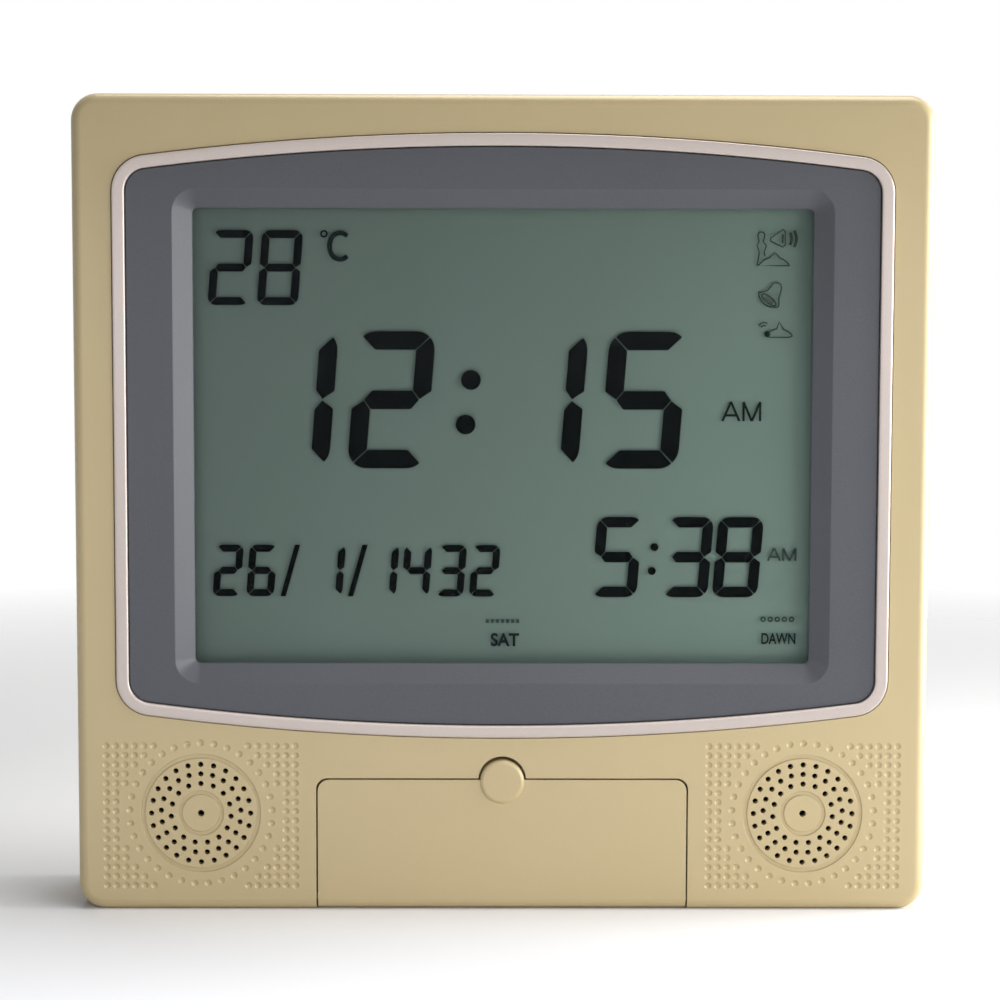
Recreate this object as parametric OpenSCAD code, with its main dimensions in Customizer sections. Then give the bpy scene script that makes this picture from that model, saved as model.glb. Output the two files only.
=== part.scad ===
// Azan clock with a wide liquid-crystal display, two loudspeakers, a drop-down door over its keys,
// a thumbwheel for the volume, a battery box and a fold-out stand.
// Millimetres. X is to the right, Y to the back, Z up. The origin is the middle of the base.

/* [Case] */
// Width of the case
case_w = 225; // [216:1:240]
// Height of the case
case_h = 215; // [209:1:235]
// Depth of the front housing
front_depth = 16; // [16:0.5:20]
// Depth of the back housing
back_depth = 24; // [24:0.5:30]
// Corner radius seen from the front
case_corner_r = 7; // [6:0.5:9]
// Radius of the rounded front edge
front_edge_r = 2.8; // [2.6:0.1:3.4]
// Radius of the rounded rear edge
rear_edge_r = 4; // [3:0.5:5]
// Wall thickness of both housings
wall = 2.4; // [2:0.1:2.5]
// Height of the panel under the display
panel_h = 46.3; // [46:0.1:50]

/* [Trim ring] */
// From the side of the case to the trim ring
side_margin = 10.7; // [9.5:0.1:12]
// From the top of the case to the highest point of the trim ring
top_margin = 10.1; // [9.5:0.1:12]
// Rise of the bulged upper and lower edges
bulge = 7.05; // [6:0.05:8]
// Outer corner radius of the trim ring
trim_corner_r = 9.3; // [8:0.1:11]
// Width of the band that shows
trim_band = 3.3; // [2.8:0.1:4]
// How far the band stands out of the case
trim_proud = 0.8; // [0.4:0.1:1.2]
// Rise of the band's domed face
trim_dome = 0.6; // [0.5:0.1:1.2]

/* [Display bezel] */
// Flat width beside the sloped edge, at the sides
bezel_side = 12.2; // [11:0.1:14]
// Flat width above and below the sloped edge
bezel_top = 11.1; // [10:0.1:13]
// Width of the sloped edge
bevel_w = 4.9; // [4:0.05:6]
// Depth of the sloped edge
bevel_depth = 3.75; // [3:0.05:4]
// Corner radius of the window
window_corner_r = 1.4; // [1:0.1:2.5]
// How far the bezel lies below the case's face
bezel_sunk = 0.2; // [0:0.1:0.5]
// Thickness of the bezel from its face to its rear
bezel_t = 4.8; // [4.6:0.1:5.4]
// Thickness of the clear window
window_t = 1.5; // [1:0.1:2]

/* [Digits] */
// Slant of the digits, sideways over upwards
slant = 0.078; // [0:0.002:0.15]
// Height of the time digits
time_h = 36.3; // [30:0.1:38]
// Height of the temperature digits
temperature_h = 19.7; // [15:0.1:21]
// Height of the prayer time's digits
prayer_h = 21.45; // [16:0.05:22]
// Height of the date digits
date_h = 13.8; // [10:0.1:15]

/* [Speakers] */
// From the side of the case to the middle of a speaker
speaker_side = 32.7; // [31.5:0.1:33]
// Height of the speakers' middle
speaker_z = 26; // [25.2:0.1:26.5]
// Radius of the speaker's frame
speaker_r = 19.5; // [18:0.1:19.6]
// Diameter of the sound holes
sound_hole_d = 1.4; // [1:0.1:1.6]
// Diameter of the dimples
dimple_d = 1.8; // [1.4:0.1:2]
// Spacing of the dimple grid
dimple_pitch = 2.5; // [2.3:0.05:2.5]

/* [Control door] */
// From the side of the case to the door
door_side = 63.6; // [62:0.1:64]
// Height of the door's upper edge
door_top = 35; // [34:0.1:35.4]
// Thickness of the door
door_t = 2.2; // [1.8:0.1:2.3]
// Gap all round the door
door_gap = 0.4; // [0.3:0.05:0.6]
// Diameter of the push boss
boss_d = 11.8; // [10:0.1:13]
// From the door's upper edge down to the middle of the push boss
boss_drop = 0.5; // [0:0.1:0.8]
// How far the push boss stands out
boss_proud = 0.8; // [0.5:0.1:1.2]
// Radius of the hinge pins
hinge_pin_r = 1; // [0.9:0.05:1.2]

/* [Keys] */
// From the side of the door to the first key
key_side = 10.5; // [10.5:0.1:13]
// Gap between the keys across
key_gap = 10; // [8.5:0.1:12]
// Height of a key
key_h = 5.5; // [4:0.1:6]
// Spacing of the keys up and down
key_pitch_z = 9.5; // [9:0.1:10]
// Travel of a key
key_travel = 0.8; // [0.5:0.1:0.8]

/* [Volume wheel] */
// Height of the wheel's middle
volume_z = 64.8; // [60:0.1:80]
// Radius of the wheel
volume_r = 10; // [9:0.1:11]
// Thickness of the wheel
volume_t = 2.6; // [2:0.1:3]
// How far the wheel stands out of the side
volume_proud = 2.3; // [1.5:0.1:2.8]

/* [Back] */
// Diameter of a battery cell
cell_d = 14.5; // [14:0.1:14.5]
// Length of a battery cell
cell_l = 50.5; // [48:0.5:51]
// Height of the battery box's lower end
battery_z = 97; // [97:0.5:105]
// Height of the stand's pivot
stand_pivot_z = 86; // [80:0.5:86]
// Width of the stand
stand_w = 60; // [40:1:70]
// Thickness of the stand
stand_t = 4; // [3:0.1:4.5]
// Radius of the stand's pivot pin
stand_pin_r = 1.5; // [1.2:0.1:1.6]
// Spacing of the two wall-hanging holes
hanger_spacing = 120; // [80:1:160]
// Height of the wall-hanging holes
hanger_z = 186; // [175:0.5:192]
// Radius of a wall-hanging hole
hanger_r = 4.5; // [4:0.1:5]

/* [Hidden] */
$fn = 48;
// facets of the long shallow arcs
arc_fn = 720;
// clearance between fixed pieces that slip into each other
fit = 0.25;
// radial clearance of pins that turn
turn_fit = 0.06;
// what a cut runs past the face that it opens
past = 1;

// depths along the viewing axis: positive towards the front
face_z = (front_depth + back_depth) / 2;
parting_z = face_z - front_depth;
rear_z = -face_z;
inner_face_z = face_z - wall;
inner_rear_z = rear_z + wall;
case_inner = [case_w - 2 * wall, case_h - 2 * wall];

// display
trim_w = case_w - 2 * side_margin;
trim_h = case_h - top_margin - panel_h;
display_z = panel_h + trim_h / 2;
bulge_r = (trim_w * trim_w / 4 + bulge * bulge) / (2 * bulge);
flange_w = 2;
trim_flange_t = 1.4;
dome_steps = 5;
bezel_flange_t = 1.2;
trim_rear_z = inner_face_z - trim_flange_t;
bezel_inset = trim_band + fit;
bezel_face_z = face_z - bezel_sunk;
bezel_rear_z = bezel_face_z - bezel_t;
bezel_skin = 1.8;
bevel_outer = [trim_w - 2 * (trim_band + bezel_side), trim_h - 2 * (trim_band + bezel_top)];
window_size = bevel_outer - 2 * [bevel_w, bevel_w];
collar_size = bevel_outer + [7, 7];
window_lap = 2.5;
window_rear_z = bezel_rear_z - window_t;

// liquid-crystal cell
cell_gap = 0.1;
glass_t = 0.7;
glass_size = window_size + [7.4, 11.2];
rear_glass_size = window_size + [7.4, 3.4];
glass_front_z = window_rear_z - 0.3;
segment_z = glass_front_z - glass_t - cell_gap;
rear_glass_z = segment_z - glass_t;
reflector_t = 0.2;
glass_r = 0.5;
holder_wall = 2.2;
holder_r = 2;
connector_h = 3;

// main board
board_front_z = face_z - 11.7;
board_t = 1.6;
board_size = glass_size + [26, 6];
board_screw_at = [glass_size.x / 2 + 8.2, glass_size.y / 2 - 7];
board_screw_grip = 5;
chip_side = 46.05;
chip_y = 12;
chip_r = 8;
chip_h = 2;
amplifier_y = -22;
amplifier_size = [14, 9, 2.2];
capacitor_side = 40.05;
capacitor_tops = [17.95, 29.95];
capacitor_r = 4;
capacitor_l = 9;
crystal_at = [34.05, 31.95];
crystal_size = [11, 4.5, 3.5];
small_screw_r = 1;
small_head_r = 1.9;
small_head_h = 1.4;
small_hole_r = small_screw_r + turn_fit;
small_boss_r = 2.6;
bezel_boss_r = 2.2;
bezel_screw_at = [trim_w / 2 + flange_w + bezel_boss_r + 0.2, 40];

// control recess and door
door_w = case_w - 2 * door_side;
recess_wall = 2;
recess_floor_z = face_z - 8.5;
recess_rear_z = recess_floor_z - recess_wall;
opening_w = door_w + 2 * door_gap;
opening_top = door_top + door_gap;
door_corner_r = 3;
door_lift = 0.2;
hinge_z = front_edge_r + door_lift;
hinge_depth = face_z - front_edge_r;
hinge_bearing = 4;
hinge_boss_r = front_edge_r - 0.3;
lip_rear_z = hinge_depth - front_edge_r - door_gap;
boss_round = 1.2;
boss_z = door_top - boss_drop;
boss_notch_r = boss_d / 2 + door_gap;
boss_cup_floor_z = face_z - 4.2;
boss_cup_wall = 1.4;
striker_z = 29;
striker_size = [5, 2];
striker_tip_z = recess_floor_z - 0.7;

// push latch
latch_size = [12, 8, 11.5];
plunger_size = [5, 4];
plunger_travel = 2.5;
plunger_head_z = striker_tip_z - 1.3;
plunger_l = 6;
latch_wall = 1.5;
latch_spring_r = 1.5;

// keys
key_columns = 4;
key_w = (door_w - 2 * key_side - (key_columns - 1) * key_gap) / key_columns;
key_pitch_x = key_w + key_gap;
key_row_z = 10;
key_proud = 1.4;
key_flange = 1;
key_mid_z = key_row_z + key_pitch_z / 2;
membrane_t = 1;
membrane_front_z = recess_rear_z - 0.1 - key_flange - key_travel - 0.1;
key_board_front_z = membrane_front_z - membrane_t;
key_board_size = [door_w - 3, key_pitch_z + key_h + 4.6];
key_post_x = [-door_w / 2 + 5, 0, door_w / 2 - 5];

// speakers and grilles
speaker_x = case_w / 2 - speaker_side;
speaker_ring_t = 1.2;
speaker_seat_r = speaker_r + fit;
grille_rings = [[13.1, 24], [10.55, 21], [7.95, 15]];
groove_radii = [15.3, 5.5];
groove_w = 1.1;
groove_depth = 0.35;
centre_hole_d = 1.75;
dimple_depth = 0.45;
dimple_ball_r = (dimple_d * dimple_d / 4 + dimple_depth * dimple_depth) / (2 * dimple_depth);
dimple_circle = [18.85, 33];
dimple_columns = 21;
dimple_rows = 16;
dimple_edge_counts = [6, 5, 4, 3, 3, 2, 2, 2];
dimple_sink = 0.7;

// screws between the housings
case_screw_r = 1.45;
case_boss_r = 3.8;
case_screw_hole_r = case_screw_r + turn_fit;
case_head_r = 2.8;
case_head_h = 2;
case_screw_grip = 9;
case_seat_z = parting_z - 7;
case_screws = [
    [case_w / 2 - 14.5, case_h - 8],
    [-case_w / 2 + 14.5, case_h - 8],
    [case_w / 2 - 7.7, 8.5],
    [-case_w / 2 + 7.7, 8.5],
];

// volume wheel
volume_x = case_w / 2 + volume_proud - volume_r;
volume_shaft_r = 1.5;
volume_front_z = parting_z - 0.6;
volume_slot_h = 2 * sqrt(volume_r * volume_r - pow(case_w / 2 - wall - volume_x, 2)) + 1.6;
pot_w = 2 * (case_w / 2 - wall - fit - volume_x);
pot_size = [pot_w, 10, 4.5];
pot_front_z = volume_front_z - volume_t - 0.5;
volume_board_size = [pot_w, 26];
volume_post_dz = 9.5;
knurl_count = 36;
knurl_r = 0.4;

// power socket in the left side
socket_z = 64.8;
socket_depth = rear_z + 14;
socket_size = [14, 11, 9];
socket_hole_r = 4.2;
socket_gap = 0.9;
socket_bore_r = 2.8;
socket_pin_r = 1;
socket_wall = 2;

// battery box
cell_count = 4;
cell_pitch = cell_d + 0.5;
battery_w = cell_count * cell_pitch + 1;
battery_h = cell_l + 7.5;
battery_door_t = 2;
battery_wall = 1.6;
battery_depth = cell_d + 1.2;
battery_floor_z = rear_z + battery_door_t + battery_depth;
battery_mid_z = battery_z + battery_h / 2;
battery_lap = 2.5;
battery_door_gap = 0.3;
battery_box = [battery_w, battery_h];
battery_ledge = battery_box + 2 * [battery_lap, battery_lap];
cell_depth = battery_floor_z - 0.4 - cell_d / 2;
battery_hinge_z = battery_z - battery_lap + battery_door_gap;
contact_w = cell_d - 3;
contact_t = 0.6;
cell_nub = [2.7, 1.2];
spring_base_r = 5;
spring_tip_r = 3;
tab_w = 6;
tab_x = 10;
tab_t = 1.2;
tab_below = 2.7;
tab_above = 1.7;

// stand
stand_gap = 0.4;
stand_foot_z = 3;
stand_depth = rear_z + 0.3 + stand_t / 2;
stand_recess_depth = stand_t + 0.9;
stand_bearing = 4;
stand_pin_half = stand_w / 2 + stand_gap + stand_bearing - 1.2;
stand_pocket_depth = 1.5;
stand_rim = 8;

// wall-hanging holes and vents
hanger_slot_r = 2;
hanger_slot_l = 9;
vent_rows = 5;
vent_size = [16, 1.5];
vent_pitch = 3.2;

// ---------------------------------------------------------------- helpers

// Turns a piece drawn as seen from the front, with depth along +Z, into its place.
module facing() rotate([90, 0, 0]) children();

// As facing(), for a piece drawn round the display's middle.
module at_display() facing() translate([0, display_z, 0]) children();

module rounded_square(size, r) {
    square([size.x - 2 * r, size.y], center = true);
    square([size.x, size.y - 2 * r], center = true);
    for (x = [-1, 1], y = [-1, 1])
        translate([x * (size.x / 2 - r), y * (size.y / 2 - r)]) circle(r);
}

module plate(size, r, z0, z1) translate([0, 0, z0]) linear_extrude(z1 - z0) rounded_square(size, r);

module tube(r_out, r_in, z0, z1) translate([0, 0, z0]) difference() {
    cylinder(r = r_out, h = z1 - z0);
    translate([0, 0, -past]) cylinder(r = r_in, h = z1 - z0 + 2 * past);
}

module rod(r, z0, z1) translate([0, 0, z0]) cylinder(r = r, h = z1 - z0);

// Sweeps a profile round a rounded rectangle. The profile's x counts from the corner circles' middles.
module sweep_rectangle(size, r) {
    straight = [size.x / 2 - r, size.y / 2 - r];
    for (q = [0:3]) {
        corner = [(q == 0 || q == 3) ? straight.x : -straight.x, q < 2 ? straight.y : -straight.y];
        side_l = 2 * (q % 2 == 0 ? straight.x : straight.y);
        translate(corner) rotate([0, 0, 90 * q]) {
            rotate_extrude(angle = 90) children();
            rotate([90, 0, 90]) translate([0, 0, -side_l]) linear_extrude(side_l) children();
        }
    }
}

// A block with a rounded rectangle's outline and one rounded edge, at its top.
module rounded_block(size, r, depth, edge_r) {
    translate([0, 0, depth / 2]) cube([size.x - 2 * r, size.y - 2 * r, depth], center = true);
    sweep_rectangle(size, r) {
        square([r - edge_r, depth]);
        square([r, depth - edge_r]);
        translate([r - edge_r, depth - edge_r]) intersection() {
            circle(edge_r);
            square(2 * edge_r);
        }
    }
}

// Half-sizes, arc radius and corner radius of the bulged outline, drawn in by inset.
function bulge_half(inset) = [trim_w / 2 - inset, trim_h / 2 - inset];
function bulge_corner(inset) =
    let (half = bulge_half(inset), big = bulge_r - inset, r = trim_corner_r - inset, x = half.x - r)
    [x, half.y - big + sqrt(pow(big - r, 2) - x * x)];
function bulge_angle(inset) =
    asin(bulge_corner(inset).x / (bulge_r - trim_corner_r));

module bulged_shape(inset) {
    half = bulge_half(inset);
    big = bulge_r - inset;
    r = trim_corner_r - inset;
    corner = bulge_corner(inset);
    turn = 90 - bulge_angle(inset);
    reach = 3 * r;
    difference() {
        intersection() {
            square([2 * half.x, 2 * half.y], center = true);
            translate([0, half.y - big]) circle(big, $fn = arc_fn);
            translate([0, big - half.y]) circle(big, $fn = arc_fn);
        }
        for (x = [0, 1], y = [0, 1]) mirror([x, 0]) mirror([0, y]) translate(corner)
            polygon([
                [0, 0], [reach, 0], [reach, reach],
                [reach * cos(turn), reach * sin(turn)],
            ]);
    }
    for (x = [-1, 1], y = [-1, 1]) translate([x * corner.x, y * corner.y]) circle(r);
}

module bulged_plate(inset, z0, z1) translate([0, 0, z0]) linear_extrude(z1 - z0) bulged_shape(inset);

// Outline with rounded upper corners only, across the middle.
module door_shape(w, bottom, top, r) {
    translate([-w / 2, bottom]) square([w, top - r - bottom]);
    translate([-w / 2 + r, bottom]) square([w - 2 * r, top - bottom]);
    for (side = [-1, 1]) translate([side * (w / 2 - r), top - r]) circle(r);
}

// A cap screw along Z with its head's rear at z0 and its point at z1, towards the front.
module screw(r, head_r, head_h, z0, z1) {
    difference() {
        rod(head_r, z0, z0 + head_h);
        for (turn = [0, 90]) translate([0, 0, z0]) rotate([0, 0, turn])
            cube([head_r * 1.3, head_r * 0.3, head_h], center = true);
    }
    rod(r, z0 + head_h, z1);
}

// A round lead swept along a few points.
function unit(v) = v / norm(v);
function heading(p, i) = unit(p[min(i + 1, len(p) - 1)] - p[max(i - 1, 0)]);
function sideways(t) = unit(cross(t, abs(t.z) < 0.9 ? [0, 0, 1] : [1, 0, 0]));
function curve(a, b, c, d, steps = 10) = [
    for (i = [0:steps]) let (t = i / steps, u = 1 - t)
        u * u * u * a + 3 * u * u * t * b + 3 * u * t * t * c + t * t * t * d
];
module lead(points, r, sides = 6) {
    rings = [
        for (i = [0:len(points) - 1]) let (t = heading(points, i), s = sideways(t), u = cross(t, s))
            for (k = [0:sides - 1]) points[i] + r * (cos(360 * k / sides) * s + sin(360 * k / sides) * u)
    ];
    last = (len(points) - 1) * sides;
    walls = [
        for (i = [0:len(points) - 2], k = [0:sides - 1]) let (a = i * sides, n = (k + 1) % sides)
            [a + k, a + n, a + sides + n, a + sides + k]
    ];
    ends = [[for (k = [sides - 1:-1:0]) k], [for (k = [0:sides - 1]) last + k]];
    polyhedron(rings, concat(walls, ends));
}

// ---------------------------------------------------------------- digits

function slanted(p, at) = [at.x + p.x + slant * p.y, at.y + p.y];
function quarter(c, r, a0, a1) = [
    for (i = [0:4]) let (a = a0 + (a1 - a0) * i / 4) c + r * [cos(a), sin(a)]
];
function flip_x(points, w) = [for (p = points) [w - p.x, p.y]];
function flip_y(points, h) = [for (p = points) [p.x, h - p.y]];

// Outlines of the seven segments of a digit of width w, height h and stroke t.
function segment_top(w, h, t) = let (g = t * 0.035 + 0.05)
    concat(
        [[w - t - g, h - t], [t + g, h - t]],
        quarter([t + g, h - t], t, 135, 90),
        quarter([w - t - g, h - t], t, 90, 45)
    );
function segment_upper_right(w, h, t) = let (g = t * 0.035 + 0.05, mid = h / 2)
    concat(
        [[w - t, h - t - g]],
        quarter([w - t, h - t - g], t, 45, 0),
        [[w, mid + t * 0.48], [w - t * 0.62, mid + g], [w - t, mid + t * 0.5 + g]]
    );
function segment_middle(w, h, t) = let (g = t * 0.035 + 0.05, mid = h / 2)
    [
        [t + g, mid + t / 2], [t * 0.6 + g, mid], [t + g, mid - t / 2],
        [w - t - g, mid - t / 2], [w - t * 0.6 - g, mid], [w - t - g, mid + t / 2],
    ];

// Which segments each figure lights: top, two on the right, bottom, two on the left, middle.
LIT = [
    [1, 1, 1, 1, 1, 1, 0], [0, 1, 1, 0, 0, 0, 0], [1, 1, 0, 1, 1, 0, 1], [1, 1, 1, 1, 0, 0, 1],
    [0, 1, 1, 0, 0, 1, 1], [1, 0, 1, 1, 0, 1, 1], [1, 0, 1, 1, 1, 1, 1], [1, 1, 1, 0, 0, 0, 0],
    [1, 1, 1, 1, 1, 1, 1], [1, 1, 1, 1, 0, 1, 1],
];

module figure(value, at, w, h, t) {
    outlines = [
        segment_top(w, h, t),
        segment_upper_right(w, h, t),
        flip_y(segment_upper_right(w, h, t), h),
        flip_y(segment_top(w, h, t), h),
        flip_x(flip_y(segment_upper_right(w, h, t), h), w),
        flip_x(segment_upper_right(w, h, t), w),
        segment_middle(w, h, t),
    ];
    for (i = [0:6]) if (LIT[value][i] == 1)
        polygon([for (p = outlines[i]) slanted(p, at)]);
}

module bar(at, w, h, t) polygon([
    [at.x, at.y], [at.x + t, at.y], [at.x + w, at.y + h], [at.x + w - t, at.y + h],
]);

// The time's places count from the window's middle, the others from its left, right, upper and lower edge.
window_half = window_size / 2;
time_at = [-66.95, -41.3, -0.9, 25.5];
time_figures = [1, 2, 1, 5];
time_base = 9.75 - time_h / 2;
time_w = 20.8;
time_t = 4.9;
colon_at = [[-8.45, 15.05], [-9.85, 3.25]];
colon_r = 2.6;
temperature_at = [for (x = [3.45, 16.45]) x - window_half.x];
temperature_figures = [2, 8];
temperature_base = window_half.y - 5.65 - temperature_h;
temperature_w = 10.8;
temperature_t = 2.1;
degree_at = [34.2 - window_half.x, window_half.y - 6.6];
degree_r = 1;
degree_t = 0.45;
prayer_at = [for (x = [57.8, 38.9, 25.6]) window_half.x - x];
prayer_figures = [5, 3, 8];
prayer_base = 17.3 - window_half.y;
prayer_w = 12.1;
prayer_t = 2.8;
prayer_dots = [[window_half.x - 40.95, prayer_base + 13.4], [window_half.x - 41.6, prayer_base + 7]];
prayer_dot_r = 1.05;
date_at = [for (x = [4.2, 13.15, 31.3, 45.55, 54.35, 63.55, 72.45]) x - window_half.x];
date_figures = [2, 6, 1, 1, 4, 3, 2];
date_base = 17.4 - window_half.y;
date_w = 7.4;
date_t = 1.9;
slash_at = [for (x = [22.3, 40.25]) x - window_half.x];
slash_w = 5.3;
slash_t = 1.4;

// ---------------------------------------------------------------- front housing

// Where the dimple grid's columns stay: the outer ones of each row, as the counts say.
function grid_has(column, row) =
    let (edge = min(column, dimple_columns - 1 - column), from_end = min(row, dimple_rows - 1 - row))
    edge < dimple_edge_counts[from_end];

module grille_cuts() {
    for (ring = grille_rings, i = [0:ring[1] - 1])
        rotate([0, 0, 90 + 360 * i / ring[1]]) translate([ring[0], 0, 0])
            rod(sound_hole_d / 2, inner_face_z - past, face_z + past, $fn = 16);
    rod(centre_hole_d / 2, inner_face_z - past, face_z + past, $fn = 16);
    for (r = groove_radii) tube(r + groove_w / 2, r - groove_w / 2, face_z - groove_depth, face_z + past);
    translate([0, 0, face_z - dimple_depth + dimple_ball_r]) {
        for (i = [0:dimple_circle[1] - 1])
            rotate([0, 0, 90 + 360 * i / dimple_circle[1]]) translate([dimple_circle[0], 0, 0])
                sphere(dimple_ball_r, $fn = 20);
        for (column = [0:dimple_columns - 1], row = [0:dimple_rows - 1]) if (grid_has(column, row))
            translate([
                (column - (dimple_columns - 1) / 2) * dimple_pitch,
                (row - (dimple_rows - 1) / 2) * dimple_pitch - dimple_sink,
                0,
            ]) sphere(dimple_ball_r, $fn = 20);
    }
}

// Open from the front; the bottom wall is open only in front, where the door's lower lip turns.
module recess_cut() {
    translate([0, 0, recess_floor_z]) linear_extrude(face_z + past - recess_floor_z)
        door_shape(opening_w, wall, opening_top, door_corner_r);
    translate([0, 0, lip_rear_z]) linear_extrude(face_z + past - lip_rear_z)
        door_shape(opening_w, -past, opening_top, door_corner_r);
}

module front_housing() color([0.74, 0.68, 0.54]) facing() difference() {
    union() {
        difference() {
            translate([0, case_h / 2, parting_z])
                rounded_block([case_w, case_h], case_corner_r, front_depth, front_edge_r);
            translate([0, case_h / 2, 0])
                plate(case_inner, case_corner_r - wall, parting_z - past, inner_face_z);
            translate([0, display_z, 0]) bulged_plate(-fit, inner_face_z - past, face_z + past);
        }
        // recess behind the door, with its bearing blocks and the cup behind the push boss
        translate([-opening_w / 2 - recess_wall, wall / 2, recess_rear_z]) cube([
            opening_w + 2 * recess_wall,
            opening_top + recess_wall - wall / 2,
            inner_face_z - recess_rear_z + wall / 2,
        ]);
        for (side = [-1, 1]) translate([side * opening_w / 2, hinge_z, hinge_depth]) rotate([0, side * 90, 0])
            rod(hinge_boss_r, 0, hinge_bearing);
        translate([0, door_top, 0])
            rod(boss_notch_r + boss_cup_wall, boss_cup_floor_z - boss_cup_wall, inner_face_z + wall / 2);
        for (x = key_post_x) translate([x, key_mid_z, 0])
            rod(small_boss_r, key_board_front_z, recess_rear_z + recess_wall / 2);
        for (side = [-1, 1]) translate([side * speaker_x, speaker_z, 0])
            tube(speaker_seat_r + speaker_ring_t, speaker_seat_r, inner_face_z - 3, inner_face_z + wall / 2);
        for (at = case_screws) translate(at) rod(case_boss_r, parting_z, inner_face_z + wall / 2);
        for (x = [-1, 1], y = [-1, 1])
            translate([x * bezel_screw_at.x, display_z + y * bezel_screw_at.y, 0])
                rod(bezel_boss_r, trim_rear_z, inner_face_z + wall / 2);
    }
    recess_cut();
    for (side = [-1, 1])
        translate([side * (opening_w / 2 - past), hinge_z, hinge_depth]) rotate([0, side * 90, 0])
            rod(hinge_pin_r + turn_fit, 0, past + hinge_bearing - 0.5);
    translate([0, door_top, 0]) rod(boss_notch_r, boss_cup_floor_z, face_z + past);
    for (column = [0:key_columns - 1], row = [0, 1])
        translate([key_x(column), key_row_z + row * key_pitch_z, 0])
            plate([key_w + 0.6, key_h + 0.6], key_h / 2 + 0.29, recess_rear_z - past, recess_floor_z + past);
    translate([-striker_size.x / 2 - 0.6, striker_z - striker_size.y / 2 - 0.6, recess_rear_z - past])
        cube([striker_size.x + 1.2, striker_size.y + 1.2, recess_wall + 2 * past]);
    for (x = key_post_x) translate([x, key_mid_z, 0])
        rod(small_hole_r, key_board_front_z - past, key_board_front_z + 3.4);
    for (side = [-1, 1]) translate([side * speaker_x, speaker_z, 0]) grille_cuts();
    for (at = case_screws) translate(at)
        rod(case_screw_hole_r, parting_z - past, parting_z + case_screw_grip + 0.5);
    for (x = [-1, 1], y = [-1, 1])
        translate([x * bezel_screw_at.x, display_z + y * bezel_screw_at.y, 0])
            rod(small_hole_r, trim_rear_z - past, trim_rear_z + 2.8);
}

function key_x(column) = (column - (key_columns - 1) / 2) * key_pitch_x;

// ---------------------------------------------------------------- display

module trim_ring() color([0.8, 0.75, 0.72]) at_display() difference() {
    crown_z = face_z + trim_proud;
    step = trim_dome / dome_steps;
    union() {
        bulged_plate(-flange_w, trim_rear_z, trim_rear_z + trim_flange_t);
        bulged_plate(0, trim_rear_z, crown_z - trim_dome);
        for (i = [1:dome_steps]) difference() {
            bulged_plate(dome_inset(i), trim_rear_z, crown_z - trim_dome + i * step);
            bulged_plate(trim_band - dome_inset(i), trim_rear_z - past, crown_z + past);
        }
    }
    bulged_plate(trim_band, trim_rear_z - past, crown_z + past);
}

// How far each layer of the band's domed crown is drawn in, along a circle through its edges and top.
dome_r = (trim_band * trim_band / 4 + trim_dome * trim_dome) / (2 * trim_dome);
function dome_inset(i) =
    trim_band / 2 - sqrt(dome_r * dome_r - pow(dome_r - trim_dome + (i - 0.5) * trim_dome / dome_steps, 2));

module bevel_cut() {
    outer_r = window_corner_r + bevel_w;
    straight = bevel_outer / 2 - [outer_r, outer_r];
    foot_z = bezel_face_z - bevel_depth;
    plate(window_size, window_corner_r, bezel_rear_z - past, bezel_face_z + past);
    sweep_rectangle(bevel_outer, outer_r)
        polygon([
            [0, foot_z], [window_corner_r, foot_z], [outer_r, bezel_face_z],
            [outer_r, face_z + past], [0, face_z + past],
        ]);
    translate([-straight.x, -straight.y, foot_z]) cube([2 * straight.x, 2 * straight.y, bevel_depth + past]);
}

module display_bezel() color([0.35, 0.35, 0.37]) at_display() {
    difference() {
        union() {
            bulged_plate(bezel_inset, bezel_rear_z, bezel_face_z);
            bulged_plate(-flange_w, trim_rear_z - bezel_flange_t, trim_rear_z);
            for (x = [-1, 1], y = [-1, 1]) translate([x * bezel_screw_at.x, y * bezel_screw_at.y, 0]) {
                rod(bezel_boss_r, trim_rear_z - bezel_flange_t, trim_rear_z);
                translate([-x * bezel_boss_r, 0, trim_rear_z - bezel_flange_t / 2])
                    cube([2 * bezel_boss_r, 2 * bezel_boss_r, bezel_flange_t], center = true);
            }
        }
        bevel_cut();
        translate([0, 0, bezel_rear_z - past])
            linear_extrude(bezel_t - bezel_skin + past) difference() {
                bulged_shape(bezel_inset + bezel_skin);
                square(collar_size, center = true);
            }
        for (x = [-1, 1], y = [-1, 1]) translate([x * bezel_screw_at.x, y * bezel_screw_at.y, 0])
            rod(small_hole_r, trim_rear_z - bezel_flange_t - past, trim_rear_z + past);
    }
    for (x = [-1, 1], y = [-1, 1]) translate([x * board_screw_at.x, y * board_screw_at.y, 0])
        tube(small_boss_r, small_hole_r, board_front_z, bezel_face_z - bezel_skin + 0.4);
}

module bezel_screws() color("silver") at_display()
    for (x = [-1, 1], y = [-1, 1]) translate([x * bezel_screw_at.x, y * bezel_screw_at.y, 0])
        screw(
            small_screw_r, small_head_r, small_head_h,
            trim_rear_z - bezel_flange_t - small_head_h, trim_rear_z + 2.4
        );

module display_window() color([0.85, 0.9, 0.9, 0.3]) at_display()
    plate(window_size + 2 * [window_lap, window_lap], window_corner_r, window_rear_z, bezel_rear_z);

module lcd_front_glass() color([0.8, 0.88, 0.85, 0.3]) at_display()
    plate(glass_size, glass_r, glass_front_z - glass_t, glass_front_z);

module figures(values, lefts, base, w, h, t)
    for (i = [0:len(lefts) - 1]) figure(values[i], [lefts[i], base], w, h, t);

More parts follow.
